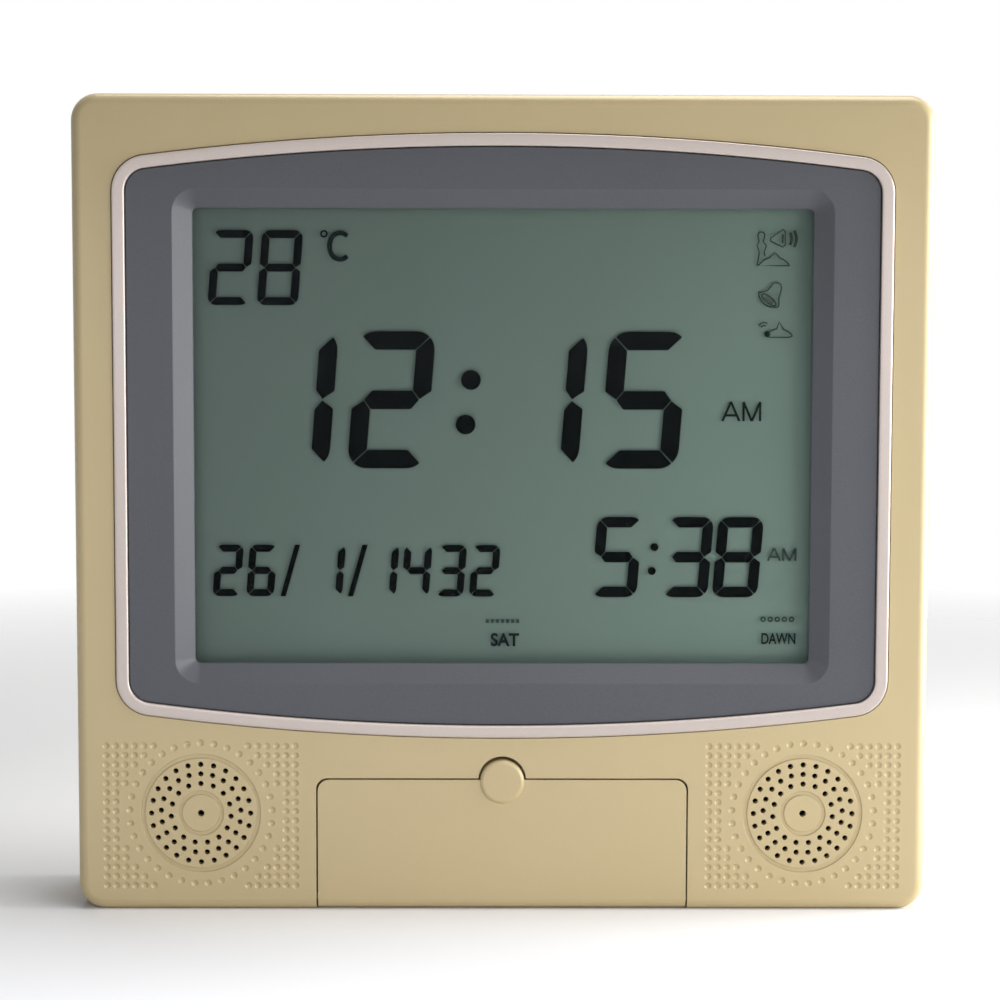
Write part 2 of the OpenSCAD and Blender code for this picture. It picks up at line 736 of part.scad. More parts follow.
module display_shapes() {
    figures(time_figures, time_at, time_base, time_w, time_h, time_t);
    for (at = colon_at) translate(at) circle(colon_r);
    figures(
        temperature_figures, temperature_at, temperature_base,
        temperature_w, temperature_h, temperature_t
    );
    translate(degree_at) difference() {
        circle(degree_r);
        circle(degree_r - degree_t);
    }
    figures(prayer_figures, prayer_at, prayer_base, prayer_w, prayer_h, prayer_t);
    for (at = prayer_dots) translate(at) circle(prayer_dot_r);
    figures(date_figures, date_at, date_base, date_w, date_h, date_t);
    for (x = slash_at) bar([x, date_base], slash_w, date_h, slash_t);
}

module lcd_segments() color([0.04, 0.08, 0.09]) at_display()
    translate([0, 0, segment_z]) linear_extrude(cell_gap) display_shapes();

module lcd_seal() color([0.5, 0.55, 0.52]) at_display() difference() {
    plate(rear_glass_size, glass_r, segment_z, segment_z + cell_gap);
    plate(rear_glass_size - [2, 2], glass_r, segment_z - past, segment_z + cell_gap + past);
}

module lcd_rear_glass() color([0.75, 0.85, 0.8, 0.3]) at_display()
    plate(rear_glass_size, glass_r, rear_glass_z, segment_z);

module lcd_reflector() color([0.4, 0.47, 0.43]) at_display()
    plate(rear_glass_size, glass_r, rear_glass_z - reflector_t, rear_glass_z);

module lcd_holder() color([0.85, 0.85, 0.82]) at_display() difference() {
    plate(glass_size + 2 * [holder_wall + fit, holder_wall + fit], holder_r, board_front_z, bezel_rear_z);
    plate(glass_size + 2 * [fit, fit], glass_r + 0.1, board_front_z - past, bezel_rear_z + past);
}

module lcd_connectors() color([0.75, 0.5, 0.6]) at_display() for (y = [-1, 1])
    translate([0, y * (glass_size.y / 2 - 0.4 - connector_h / 2), board_front_z])
        linear_extrude(glass_front_z - glass_t - board_front_z)
            square([glass_size.x - 8, connector_h], center = true);

module main_board() color([0.1, 0.4, 0.22]) at_display() difference() {
    plate(board_size, 2, board_front_z - board_t, board_front_z);
    for (x = [-1, 1], y = [-1, 1]) translate([x * board_screw_at.x, y * board_screw_at.y, 0])
        rod(small_hole_r + 0.2, board_front_z - board_t - past, board_front_z + past);
}

module board_components() color([0.12, 0.12, 0.13]) at_display() {
    rear = board_front_z - board_t;
    edge = board_size / 2;
    translate([edge.x - chip_side, chip_y, 0]) rod(chip_r, rear - chip_h, rear);
    translate([edge.x - chip_side, amplifier_y, rear - amplifier_size.z / 2])
        cube(amplifier_size, center = true);
    for (top = capacitor_tops) translate([capacitor_side - edge.x, edge.y - top, 0])
        rod(capacitor_r, rear - capacitor_l, rear);
    translate(edge - crystal_at)
        plate([crystal_size.x, crystal_size.y], crystal_size.y / 2 - 0.05, rear - crystal_size.z, rear);
}

module board_screws() color("silver") at_display()
    for (x = [-1, 1], y = [-1, 1]) translate([x * board_screw_at.x, y * board_screw_at.y, 0])
        screw(
            small_screw_r, small_head_r, small_head_h,
            board_front_z - board_t - small_head_h, board_front_z + board_screw_grip
        );

// ---------------------------------------------------------------- control door and latch

module control_door() color([0.74, 0.68, 0.54]) facing() {
    plate_top = door_top - hinge_z;
    difference() {
        union() {
            intersection() {
                translate([-door_w / 2, hinge_z, hinge_depth]) rotate([90, 0, 90]) linear_extrude(door_w) {
                    translate([0, front_edge_r - door_t]) square([plate_top, door_t]);
                    intersection() {
                        difference() {
                            circle(front_edge_r);
                            circle(front_edge_r - door_t);
                        }
                        translate([-front_edge_r, 0]) square(front_edge_r);
                    }
                }
                translate([0, 0, hinge_depth - past]) linear_extrude(front_edge_r + 2 * past)
                    door_shape(door_w, -past, door_top, door_corner_r);
            }
            translate([0, boss_z, face_z - door_t]) rotate_extrude() {
                square([boss_d / 2, door_t + boss_proud - boss_round]);
                square([boss_d / 2 - boss_round, door_t + boss_proud]);
                translate([boss_d / 2 - boss_round, door_t + boss_proud - boss_round]) circle(boss_round);
            }
        }
        // shallow hollow in the back of the boss
        translate([0, boss_z, face_z - door_t - past]) rod(boss_d / 2 - 1.6, 0, past + 0.6);
    }
    for (side = [-1, 1]) translate([0, hinge_z, hinge_depth]) rotate([0, side * 90, 0]) {
        rod(front_edge_r - 0.7, door_w / 2 - 5, door_w / 2);
        rod(hinge_pin_r, door_w / 2, opening_w / 2 + hinge_bearing - 0.9);
    }
    translate([-striker_size.x / 2, striker_z - striker_size.y / 2, striker_tip_z])
        cube([striker_size.x, striker_size.y, face_z - door_t - striker_tip_z + 0.4]);
}

module latch_body() color([0.15, 0.15, 0.16]) facing()
    translate([0, striker_z, recess_rear_z - latch_size.z]) difference() {
        linear_extrude(latch_size.z) square([latch_size.x, latch_size.y], center = true);
        translate([0, 0, latch_wall]) linear_extrude(latch_size.z)
            square(plunger_size + 2 * [fit, fit], center = true);
    }

module latch_plunger() color([0.9, 0.9, 0.88]) facing()
    translate([-plunger_size.x / 2, striker_z - plunger_size.y / 2, plunger_head_z - plunger_l])
        cube([plunger_size.x, plunger_size.y, plunger_l]);

module latch_spring() color("silver") facing() translate([0, striker_z, 0])
    tube(latch_spring_r, latch_spring_r - 0.4, recess_rear_z - latch_size.z + latch_wall,
        plunger_head_z - plunger_l - plunger_travel - 0.1);

// ---------------------------------------------------------------- keys

module key_cap(column, row) color([0.6, 0.56, 0.46]) facing()
    translate([key_x(column), key_row_z + row * key_pitch_z, 0]) {
        plate([key_w, key_h], key_h / 2 - 0.01, recess_rear_z - 0.2, recess_floor_z + key_proud);
        plate([key_w + 1.8, key_h + 1.8], 1.5, recess_rear_z - 0.1 - key_flange, recess_rear_z - 0.1);
    }

module mode_key() key_cap(0, 1);
module set_key() key_cap(1, 1);
module up_key() key_cap(2, 1);
module down_key() key_cap(3, 1);
module city_key() key_cap(0, 0);
module alarm_key() key_cap(1, 0);
module azan_key() key_cap(2, 0);
module light_key() key_cap(3, 0);

module key_layer(z0, z1, hole_r) translate([0, key_mid_z, 0]) difference() {
    plate(key_board_size, 1.5, z0, z1);
    for (x = key_post_x) translate([x, 0, 0]) rod(hole_r, z0 - past, z1 + past);
}

module key_membrane() color([0.25, 0.25, 0.26]) facing()
    key_layer(key_board_front_z, membrane_front_z, small_boss_r + fit);

module key_board() color([0.55, 0.42, 0.2]) facing()
    key_layer(key_board_front_z - board_t, key_board_front_z, small_hole_r + 0.1);

module key_board_screws() color("silver") facing() for (x = key_post_x) translate([x, key_mid_z, 0])
    screw(
        small_screw_r, small_head_r, small_head_h,
        key_board_front_z - board_t - small_head_h, key_board_front_z + 3
    );

// ---------------------------------------------------------------- speakers

module at_speaker(side) facing() translate([side * speaker_x, speaker_z, 0]) children();

basket_depth = 8.5;
basket_rear_r = 9;
basket_t = 0.8;
basket_rim_t = 1.2;
cone_r = speaker_r - 3.2;
cone_cap_r = 5;
cone_depth = 5.5;
cone_t = 0.5;
pole_r = basket_rear_r - 1;
pole_t = 1.2;
magnet_r = basket_rear_r + 1;
magnet_t = 4.8;
back_plate_r = basket_rear_r - 0.5;
back_plate_t = 1;
basket_window_at = speaker_r * 2 / 3;
basket_window_w = speaker_r / 2;

module speaker_frame() {
    seat = inner_face_z;
    difference() {
        union() {
            rod(speaker_r, seat - basket_rim_t, seat);
            translate([0, 0, seat - basket_depth])
                cylinder(r1 = basket_rear_r, r2 = speaker_r - 1.5, h = basket_depth - basket_rim_t);
        }
        translate([0, 0, seat - basket_depth + basket_t])
            cylinder(
                r1 = basket_rear_r - 0.5, r2 = speaker_r - 1.5 - basket_t,
                h = basket_depth - basket_t + 0.01
            );
        // four windows in the basket
        for (turn = [0:3]) rotate([0, 0, 45 + 90 * turn])
            translate([basket_window_at, 0, seat - basket_depth / 2])
                cube([basket_window_w, basket_window_w, basket_depth - 3.5], center = true);
    }
}

module speaker_cone() {
    seat = inner_face_z - 0.3;
    difference() {
        translate([0, 0, seat - cone_depth]) cylinder(r1 = cone_cap_r, r2 = cone_r, h = cone_depth);
        translate([0, 0, seat - cone_depth + cone_t])
            cylinder(r1 = cone_cap_r, r2 = cone_r, h = cone_depth);
    }
    rod(cone_cap_r + 0.2, seat - cone_depth, seat - cone_depth + cone_t + 0.4);
}

module speaker_magnet() {
    rear = inner_face_z - basket_depth;
    rod(pole_r, rear - pole_t, rear);
    rod(magnet_r, rear - pole_t - magnet_t, rear - pole_t);
    rod(back_plate_r, rear - pole_t - magnet_t - back_plate_t, rear - pole_t - magnet_t);
}

module left_speaker_frame() color([0.3, 0.3, 0.31]) at_speaker(-1) speaker_frame();
module left_speaker_cone() color([0.13, 0.13, 0.13]) at_speaker(-1) speaker_cone();
module left_speaker_magnet() color([0.45, 0.45, 0.47]) at_speaker(-1) speaker_magnet();
module right_speaker_frame() color([0.3, 0.3, 0.31]) at_speaker(1) speaker_frame();
module right_speaker_cone() color([0.13, 0.13, 0.13]) at_speaker(1) speaker_cone();
module right_speaker_magnet() color([0.45, 0.45, 0.47]) at_speaker(1) speaker_magnet();

// ---------------------------------------------------------------- volume control, power socket, sensor

module at_volume() facing() translate([volume_x, volume_z, 0]) children();

module volume_wheel() color([0.1, 0.1, 0.11]) at_volume() difference() {
    rod(volume_r, volume_front_z - volume_t, volume_front_z);
    for (i = [0:knurl_count - 1]) rotate([0, 0, 360 * i / knurl_count]) translate([volume_r + 0.15, 0, 0])
        rod(knurl_r, volume_front_z - volume_t - past, volume_front_z + past, $fn = 16);
    rod(volume_shaft_r, volume_front_z - volume_t - past, volume_front_z + past);
}

module volume_shaft() color("silver") at_volume() rod(volume_shaft_r, pot_front_z - 3, volume_front_z);

module volume_pot() color([0.2, 0.2, 0.22]) at_volume() difference() {
    translate([0, 0, pot_front_z - pot_size.z / 2]) cube(pot_size, center = true);
    rod(volume_shaft_r + turn_fit, pot_front_z - 3.3, pot_front_z + past);
}

module volume_board() color([0.1, 0.4, 0.22]) at_volume() difference() {
    plate(volume_board_size, 1, pot_front_z - pot_size.z - board_t, pot_front_z - pot_size.z);
    for (y = [-1, 1]) translate([0, y * volume_post_dz, 0])
        rod(small_hole_r + 0.1, pot_front_z - pot_size.z - board_t - past, pot_front_z - pot_size.z + past);
}

module volume_board_screws() color("silver") at_volume() for (y = [-1, 1])
    translate([0, y * volume_post_dz, 0]) mirror([0, 0, 1]) screw(
        small_screw_r, small_head_r, small_head_h,
        -(pot_front_z - pot_size.z) - small_head_h, -(pot_front_z - pot_size.z) + board_t + 4
    );

module at_socket() facing()
    translate([-case_w / 2 + wall + socket_gap, socket_z, socket_depth]) rotate([0, 90, 0]) children();

module power_socket() color([0.08, 0.08, 0.09]) at_socket() {
    difference() {
        linear_extrude(socket_size.x) square([socket_size.z, socket_size.y], center = true);
        rod(socket_bore_r, -past, socket_size.x - socket_wall - 1);
    }
    rod(socket_pin_r, 1.5, socket_size.x - socket_wall);
}

sensor_at = [70, 34];
sensor_r = 1.6;

module temperature_sensor() color([0.25, 0.2, 0.15]) facing() translate(sensor_at)
    rod(sensor_r, inner_rear_z + 0.3, inner_rear_z + 5);

// ---------------------------------------------------------------- back housing

module keyhole() {
    circle(hanger_r);
    translate([-hanger_slot_r, 0]) square([2 * hanger_slot_r, hanger_slot_l]);
    translate([0, hanger_slot_l]) circle(hanger_slot_r);
}

module back_housing() color([0.72, 0.66, 0.52]) facing() difference() {
    union() {
        difference() {
            translate([0, case_h / 2, parting_z]) mirror([0, 0, 1])
                rounded_block([case_w, case_h], case_corner_r, back_depth, rear_edge_r);
            translate([0, case_h / 2, 0])
                plate(case_inner, case_corner_r - wall, inner_rear_z, parting_z + past);
        }
        // battery box
        translate([0, battery_mid_z, 0]) {
            plate(battery_box + 2 * [battery_wall, battery_wall], 1, inner_rear_z - wall / 2,
                battery_floor_z + battery_wall);
            plate(battery_ledge + 2 * [battery_wall, battery_wall], 1, inner_rear_z - wall / 2,
                rear_z + battery_door_t + battery_wall);
        }
        translate([0, battery_z - battery_lap - 3, 0])
            plate([2 * tab_x + 10, 8], 1, inner_rear_z - wall / 2, rear_z + battery_door_t + 6);
        // stand recess with its bearings
        translate([-stand_w / 2 - stand_gap - stand_bearing, wall / 2, inner_rear_z - wall / 2]) cube([
            stand_w + 2 * (stand_gap + stand_bearing),
            stand_pivot_z + stand_t / 2 + 3 - wall / 2,
            rear_z + stand_recess_depth + battery_wall - inner_rear_z + wall / 2,
        ]);
        for (at = case_screws) translate(at) rod(case_boss_r, inner_rear_z - wall / 2, parting_z);
        for (y = [-1, 1]) translate([volume_x, volume_z + y * volume_post_dz, 0])
            rod(small_boss_r, inner_rear_z - wall / 2, pot_front_z - pot_size.z - board_t);
        translate(sensor_at) rod(sensor_r + 1.5, inner_rear_z - wall / 2, inner_rear_z + 2.5);
        translate([-case_w / 2 + wall / 2, socket_z - socket_size.y / 2 - socket_wall,
            socket_depth - socket_size.z / 2 - socket_wall])
            cube([socket_size.x + wall + socket_gap, socket_size.y + 2 * socket_wall, socket_wall]);
    }
    translate([0, battery_mid_z, 0]) {
        plate(battery_box, 0.8, rear_z - past, battery_floor_z);
        plate(battery_ledge, 1.5, rear_z - past, rear_z + battery_door_t);
    }
    battery_tab_slots(0.5);
    translate([-stand_w / 2 - stand_gap, -past, rear_z - past])
        cube([stand_w + 2 * stand_gap, stand_pivot_z + stand_t / 2 + 1 + past, stand_recess_depth + past]);
    translate([0, stand_pivot_z, stand_depth]) rotate([0, 90, 0])
        rod(stand_pin_r + turn_fit, -stand_pin_half - 0.4, stand_pin_half + 0.4);
    for (at = case_screws) translate(at) {
        rod(case_screw_hole_r + 0.2, rear_z - past, parting_z + past);
        rod(case_head_r + 0.4, rear_z - past, case_seat_z);
    }
    for (side = [-1, 1]) translate([side * hanger_spacing / 2, hanger_z, rear_z - past])
        linear_extrude(wall + 2 * past) keyhole();
    for (i = [1:vent_rows]) translate([sensor_at.x, sensor_at.y + i * vent_pitch, rear_z - past])
        linear_extrude(wall + 2 * past) rounded_square(vent_size, vent_size.y / 2 - 0.01);
    for (y = [-1, 1]) translate([volume_x, volume_z + y * volume_post_dz, 0])
        rod(small_hole_r, pot_front_z - pot_size.z - board_t - 4.5, parting_z);
    translate(sensor_at) rod(sensor_r + fit, inner_rear_z, inner_rear_z + 3);
    translate([case_w / 2 - wall - past, volume_z - volume_slot_h / 2, volume_front_z - volume_t - 0.5])
        cube([wall + 2 * past, volume_slot_h, volume_t + 2]);
    translate([-case_w / 2, socket_z, socket_depth]) rotate([0, 90, 0])
        rod(socket_hole_r, -past, wall + past);
}

// ---------------------------------------------------------------- battery box

// Cells stand side by side, every second one upside down.
module at_cells() facing() for (i = [0:cell_count - 1])
    translate([(i - (cell_count - 1) / 2) * cell_pitch, battery_mid_z, cell_depth])
        rotate([i % 2 == 0 ? -90 : 90, 0, 0]) children();

module batteries() color([0.75, 0.6, 0.25]) at_cells() {
    rod(cell_d / 2, -cell_l / 2, cell_l / 2 - cell_nub.y);
    rod(cell_nub.x, cell_l / 2 - cell_nub.y, cell_l / 2);
}

module battery_springs() color("silver") at_cells() translate([0, 0, -battery_h / 2 + contact_t])
    cylinder(r1 = spring_base_r, r2 = spring_tip_r, h = (battery_h - cell_l) / 2 - contact_t - 0.3);

module battery_contacts() color("silver") at_cells() for (end = [-1, 1])
    translate([0, 0, end * (battery_h - contact_t) / 2])
        cube([contact_w, contact_w, contact_t], center = true);

module battery_tab_slots(gap) for (x = [-tab_x, tab_x])
    translate([x - tab_w / 2 - gap, battery_z - battery_lap - 4, rear_z + battery_door_t - 0.8])
        cube([tab_w + 2 * gap, 5 + battery_lap, 6]);

module battery_door() color([0.72, 0.66, 0.52]) facing() {
    size = battery_ledge - 2 * [battery_door_gap, battery_door_gap];
    difference() {
        translate([0, battery_mid_z, 0]) plate(size, 1.2, rear_z, rear_z + battery_door_t);
        // slits beside the springy tongue
        for (side = [-1, 1]) translate([side * 8 - 0.5, battery_mid_z + size.y / 2 - 9, rear_z - past])
            cube([1, 10, battery_door_t + 2 * past]);
        // grip ribs
        for (i = [0:4]) translate([-6, battery_mid_z + size.y / 2 - 8 + i * 1.5, rear_z - past])
            cube([12, 0.7, past + 0.4]);
    }
    for (x = [-tab_x, tab_x])
        translate([x - tab_w / 2, battery_hinge_z - tab_below, rear_z + battery_door_t])
            cube([tab_w, tab_below + tab_above, tab_t]);
}

// ---------------------------------------------------------------- stand

module stand_leg() color([0.72, 0.66, 0.52]) facing() difference() {
    union() {
        translate([-stand_w / 2, stand_foot_z, stand_depth - stand_t / 2])
            cube([stand_w, stand_pivot_z - stand_foot_z, stand_t]);
        translate([0, stand_pivot_z, stand_depth]) rotate([0, 90, 0])
            rod(stand_t / 2, -stand_w / 2, stand_w / 2);
    }
    // shallow pocket in the outer face
    translate([0, (stand_pivot_z + stand_foot_z) / 2, 0]) plate(
        [stand_w, stand_pivot_z - stand_foot_z - 10] - 2 * [stand_rim, stand_rim], 6,
        stand_depth - stand_t, stand_depth - stand_t / 2 + stand_pocket_depth
    );
    translate([0, stand_pivot_z, stand_depth]) rotate([0, 90, 0]) rod(stand_pin_r, -stand_w, stand_w);
}

module stand_pin() color("silver") facing() translate([0, stand_pivot_z, stand_depth]) rotate([0, 90, 0])
    rod(stand_pin_r, -stand_pin_half, stand_pin_half);

// ---------------------------------------------------------------- fasteners and leads

module housing_screws() color([0.2, 0.2, 0.2]) facing() for (at = case_screws) translate(at)
    screw(case_screw_r, case_head_r, case_head_h, case_seat_z - case_head_h, parting_z + case_screw_grip);

lead_r = 0.6;
board_rear_y = -board_front_z + board_t + 0.2;

module speaker_leads() color([0.6, 0.1, 0.1]) for (side = [-1, 1], i = [0, 1]) {
    start = [
        side * (speaker_x - basket_rear_r - 1.2 - lead_r),
        -inner_face_z + basket_depth + 3 + 2.5 * i,
        speaker_z,
    ];
    end = [start.x - side * (2 + 5 * i), board_rear_y, display_z - board_size.y / 2 + 5];
    lead(curve(start, start + [0, 2, 20], end + [0, 9 + 4 * i, 0], end), lead_r);
}

module battery_leads() color([0.1, 0.1, 0.1]) for (i = [0, 1]) {
    start = [
        -battery_w / 2 + 6 + 5 * i,
        -battery_floor_z + 5,
        battery_z + battery_h + battery_wall + lead_r + 0.2,
    ];
    end = [start.x, board_rear_y, start.z + 8];
    lead(curve(start, start + [0, -6, 2], end + [0, 6, 0], end), lead_r);
}

front_housing();
trim_ring();
display_bezel();
bezel_screws();
display_window();
lcd_front_glass();
lcd_segments();
lcd_seal();
lcd_rear_glass();
lcd_reflector();
lcd_holder();
lcd_connectors();
main_board();
board_components();
board_screws();
control_door();
latch_body();
latch_plunger();
latch_spring();
mode_key();
set_key();
up_key();
down_key();
city_key();
alarm_key();
azan_key();
light_key();
key_membrane();
key_board();
key_board_screws();
left_speaker_frame();
left_speaker_cone();
left_speaker_magnet();
right_speaker_frame();
right_speaker_cone();
right_speaker_magnet();
volume_wheel();
volume_shaft();
volume_pot();
volume_board();
volume_board_screws();
power_socket();
temperature_sensor();
back_housing();
batteries();
battery_springs();
battery_contacts();
battery_door();
stand_leg();
stand_pin();
housing_screws();
speaker_leads();
battery_leads();
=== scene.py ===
"""Dresses an upright azan clock.

It gives the frame its finishes, makes the pieces that need more shape, and sets a plain stage.
"""

import math

import bmesh
import bpy
from bpy.props import FloatProperty, FloatVectorProperty, PointerProperty
from mathutils import Matrix, Vector


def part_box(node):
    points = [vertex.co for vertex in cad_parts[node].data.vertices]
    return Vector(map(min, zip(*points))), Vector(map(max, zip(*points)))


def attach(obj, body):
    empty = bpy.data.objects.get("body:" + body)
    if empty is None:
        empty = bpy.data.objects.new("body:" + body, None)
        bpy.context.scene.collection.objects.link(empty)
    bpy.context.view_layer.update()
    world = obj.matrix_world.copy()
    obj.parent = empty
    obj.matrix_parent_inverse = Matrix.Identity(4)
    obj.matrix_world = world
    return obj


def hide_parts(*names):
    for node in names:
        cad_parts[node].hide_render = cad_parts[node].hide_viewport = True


bl_info = {
    "name": "Azan Clock",
    "version": (1, 0, 0),
    "blender": (4, 5, 0),
    "location": "3D View > Sidebar > Clock",
    "description": "Builds the finishes, fine pieces and stage of an upright azan clock",
    "category": "Object",
}

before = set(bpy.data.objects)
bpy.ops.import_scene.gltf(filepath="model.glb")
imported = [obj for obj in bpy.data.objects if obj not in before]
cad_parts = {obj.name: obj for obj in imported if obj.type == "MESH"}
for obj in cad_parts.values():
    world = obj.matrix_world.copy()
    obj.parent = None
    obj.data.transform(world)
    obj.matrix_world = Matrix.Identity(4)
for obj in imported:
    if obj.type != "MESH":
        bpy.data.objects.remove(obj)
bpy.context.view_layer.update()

MM = 0.001
CASE = "clock_case"
RING_LO, RING_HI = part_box("trim_ring")
FIGURES_LO, FIGURES_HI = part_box("lcd_segments")
WINDOW_LO, WINDOW_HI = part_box("display_window")
DISPLAY_Z = (RING_LO.z + RING_HI.z) / 2


def srgb(red, green, blue):
    """A colour as it looks on screen, 0 to 255, in the linear values that Blender's nodes take."""
    return tuple(
        c / 255 / 12.92 if c <= 10 else ((c / 255 + 0.055) / 1.055) ** 2.4 for c in (red, green, blue)
    )


# ---------------------------------------------------------------- sizes and colours


def length(name, description, default):
    """A length property in metres."""
    return FloatProperty(
        name=name, description=description, default=default, min=0, precision=5, unit="LENGTH"
    )


def colour(name, description, default):
    """A colour property."""
    return FloatVectorProperty(
        name=name, description=description, default=default, size=3, min=0, max=1, subtype="COLOR"
    )


class ClockSizes(bpy.types.PropertyGroup):
    """Sizes of the pieces that are made here."""

    ring_band: length("Ring band", "Width of the trim ring's band that shows", 3.3 * MM)
    ring_dome: length("Ring dome", "Rise of the band's rounded face", 0.6 * MM)
    ring_flange: length("Ring flange", "Width of the flange that the bezel clamps", 2 * MM)
    ring_flange_depth: length("Ring flange depth", "Thickness of that flange", 1.4 * MM)
    ring_bulge: length("Ring bulge", "Rise of the ring's upper and lower edges", 7.05 * MM)
    ring_corner: length("Ring corner", "Outer radius of the ring's corners", 9.3 * MM)
    soft_edge: length("Soft edge", "Rounding of moulded edges", 0.3 * MM)
    bezel_edge: length("Bezel edge", "Rounding of the display frame's edges", 0.4 * MM)
    fine_edge: length("Fine edge", "Rounding of small and stamped edges", 0.12 * MM)
    wire: length("Wire", "Thickness of the spring wire", 0.6 * MM)


class ClockColours(bpy.types.PropertyGroup):
    """Colours of the finishes."""

    case: colour("Case", "Satin plastic of the case", srgb(196, 178, 136))
    ring: colour("Trim ring", "Champagne silver of the trim ring", srgb(196, 184, 176))
    bezel: colour("Bezel", "Matt grey of the display's frame", srgb(76, 78, 83))
    # The reflector runs from painted shade at the upper left to painted light at the lower right, as if lit
    # from the right and from below.
    display_painted_shade: colour("Display, upper left", "Reflector behind the liquid crystal", srgb(92, 106, 99))
    display_painted_light: colour("Display, lower right", "Reflector behind the liquid crystal", srgb(113, 134, 124))
    ink: colour("Figures", "Lit segments", srgb(3, 6, 7))
    dark_ink: colour("Dark marks", "Small dark marks on the display", srgb(22, 34, 34))
    faint_ink: colour("Faint marks", "Thin marks on the display", srgb(58, 70, 66))
    pale_ink: colour("Pale marks", "Filled parts of the marks", srgb(88, 97, 91))
    key: colour("Keys", "Key caps behind the door", srgb(168, 158, 132))


# ---------------------------------------------------------------- shader maths


class Socket:
    """One output in a node tree. Python's operators on it add Math nodes."""

    def __init__(self, nodes, link):
        self.nodes = nodes
        self.link = link

    def _maths(self, operation, first, second):
        return self.nodes.add("ShaderNodeMath", {"operation": operation}, {0: first, 1: second})

    def __add__(self, other):
        return self._maths("ADD", self, other)

    __radd__ = __add__

    def __sub__(self, other):
        return self._maths("SUBTRACT", self, other)

    def __rsub__(self, other):
        return self._maths("SUBTRACT", other, self)

    def __mul__(self, other):
        return self._maths("MULTIPLY", self, other)

    __rmul__ = __mul__

    def __gt__(self, other):
        return self._maths("GREATER_THAN", self, other)


class Nodes:
    """The node tree of a material or the world."""

    def __init__(self, owner):
        owner.use_nodes = True
        self.owner = owner
        self.tree = owner.node_tree
        self.tree.nodes.clear()

    def add(self, kind, settings=None, inputs=None, output=0):
        """Adds a node with its settings and its sockets' values or links. Returns one of its outputs."""
        node = self.tree.nodes.new(kind)
        for name, value in (settings or {}).items():
            setattr(node, name, value)
        for key, value in (inputs or {}).items():
            if isinstance(value, Socket):
                self.tree.links.new(value.link, node.inputs[key])
            else:
                node.inputs[key].default_value = value
        return Socket(self, node.outputs[output]) if node.outputs else None

    def place(self, scale=(1, 1, 1)):
        """The object's own coordinates, in metres, stretched."""
        here = self.add("ShaderNodeTexCoord", output="Object")
        return self.add("ShaderNodeMapping", None, {"Vector": here, "Scale": scale})

    def axis(self, name):
        """One of the object's coordinates as a number."""
        return self.add("ShaderNodeSeparateXYZ", None, {0: self.place()}, name)

    def noise(self, per_metre, detail=2.0, roughness=0.5, scale=(1, 1, 1)):
        """Smooth noise about 0.5, with this many lumps to the metre."""
        inputs = {"Vector": self.place(scale), "Scale": per_metre, "Detail": detail, "Roughness": roughness}
        return self.add("ShaderNodeTexNoise", None, inputs, "Fac")

    def ramp(self, value, low, high):
        """0 below low and 1 above high."""
        return self.add("ShaderNodeMapRange", {"clamp": True}, {0: value, 1: low, 2: high})

    def between(self, factor, first, second):
        """A colour that goes from first to second."""
        first = first if isinstance(first, Socket) else (*first, 1)
        second = second if isinstance(second, Socket) else (*second, 1)
        return self.add("ShaderNodeMix", {"data_type": "RGBA"}, {0: factor, 6: first, 7: second}, 2)

    def rounded(self, radius):
        """A normal that rounds the edges of the shape."""
        return self.add("ShaderNodeBevel", {"samples": 4}, {"Radius": radius})

    def bump(self, height, distance, normal=None):
        """A normal with this height on it, distance metres high."""
        inputs = {"Height": height, "Distance": distance}
        if normal is not None:
            inputs["Normal"] = normal
        return self.add("ShaderNodeBump", None, inputs)

    def surface(self, shader):
        """Ends the material in a shader and returns it."""
        self.add("ShaderNodeOutputMaterial", None, {"Surface": shader})
        return self.owner

    def coat(self, base, roughness, normal=None, **constants):
        """Ends the material in a principled shader. Constants have its sockets' names, _ for a space."""
        inputs = {"Base Color": base, "Roughness": roughness}
        if normal is not None:
            inputs["Normal"] = normal
        inputs.update({name.replace("_", " "): value for name, value in constants.items()})
        return self.surface(self.add("ShaderNodeBsdfPrincipled", None, inputs, "BSDF"))


def tinted(base, factor):
    """A colour made lighter or darker."""
    return tuple(min(1.0, c * factor) for c in base)


def finish(name):
    """The nodes of a new material."""
    return Nodes(bpy.data.materials.new(name))


# ---------------------------------------------------------------- finishes


def moulded_plastic(name, base, edge, roughness=0.42):
    """Moulded plastic: broad unevenness, fine spark-eroded grain and soft edges."""
    grain_size, grain_height = 0.35 * MM, 0.006 * MM
    nodes = finish(name)
    broad = nodes.noise(14, detail=3)
    grain = nodes.noise(1 / grain_size, detail=3)
    shade = nodes.ramp(broad + 0.35 * (grain - 0.5), 0.25, 0.75)
    colours = nodes.between(shade, tinted(base, 0.955), tinted(base, 1.04))
    rough = roughness + 0.14 * (grain - 0.5) + 0.08 * (broad - 0.5)
    return nodes.coat(colours, rough, nodes.bump(grain, grain_height, nodes.rounded(edge)))


def case_plastic(colours, sizes):
    """Satin coat of the case, slightly pearly."""
    nodes = finish("case_plastic")
    broad = nodes.noise(11, detail=3)
    grain = nodes.noise(2400, detail=3)
    pearl = nodes.ramp(nodes.noise(5200, detail=1), 0.56, 0.7)
    shade = nodes.ramp(broad + 0.3 * (grain - 0.5), 0.25, 0.75)
    base = nodes.between(shade, tinted(colours.case, 0.965), tinted(colours.case, 1.03))
    base = nodes.between(0.22 * pearl, base, tinted(colours.case, 1.3))
    rough = 0.35 + 0.12 * (grain - 0.5) + 0.08 * (broad - 0.5)
    normal = nodes.bump(grain, 0.005 * MM, nodes.rounded(sizes.soft_edge))
    return nodes.coat(base, rough, normal, Metallic=0.12, Specular_IOR_Level=0.45)


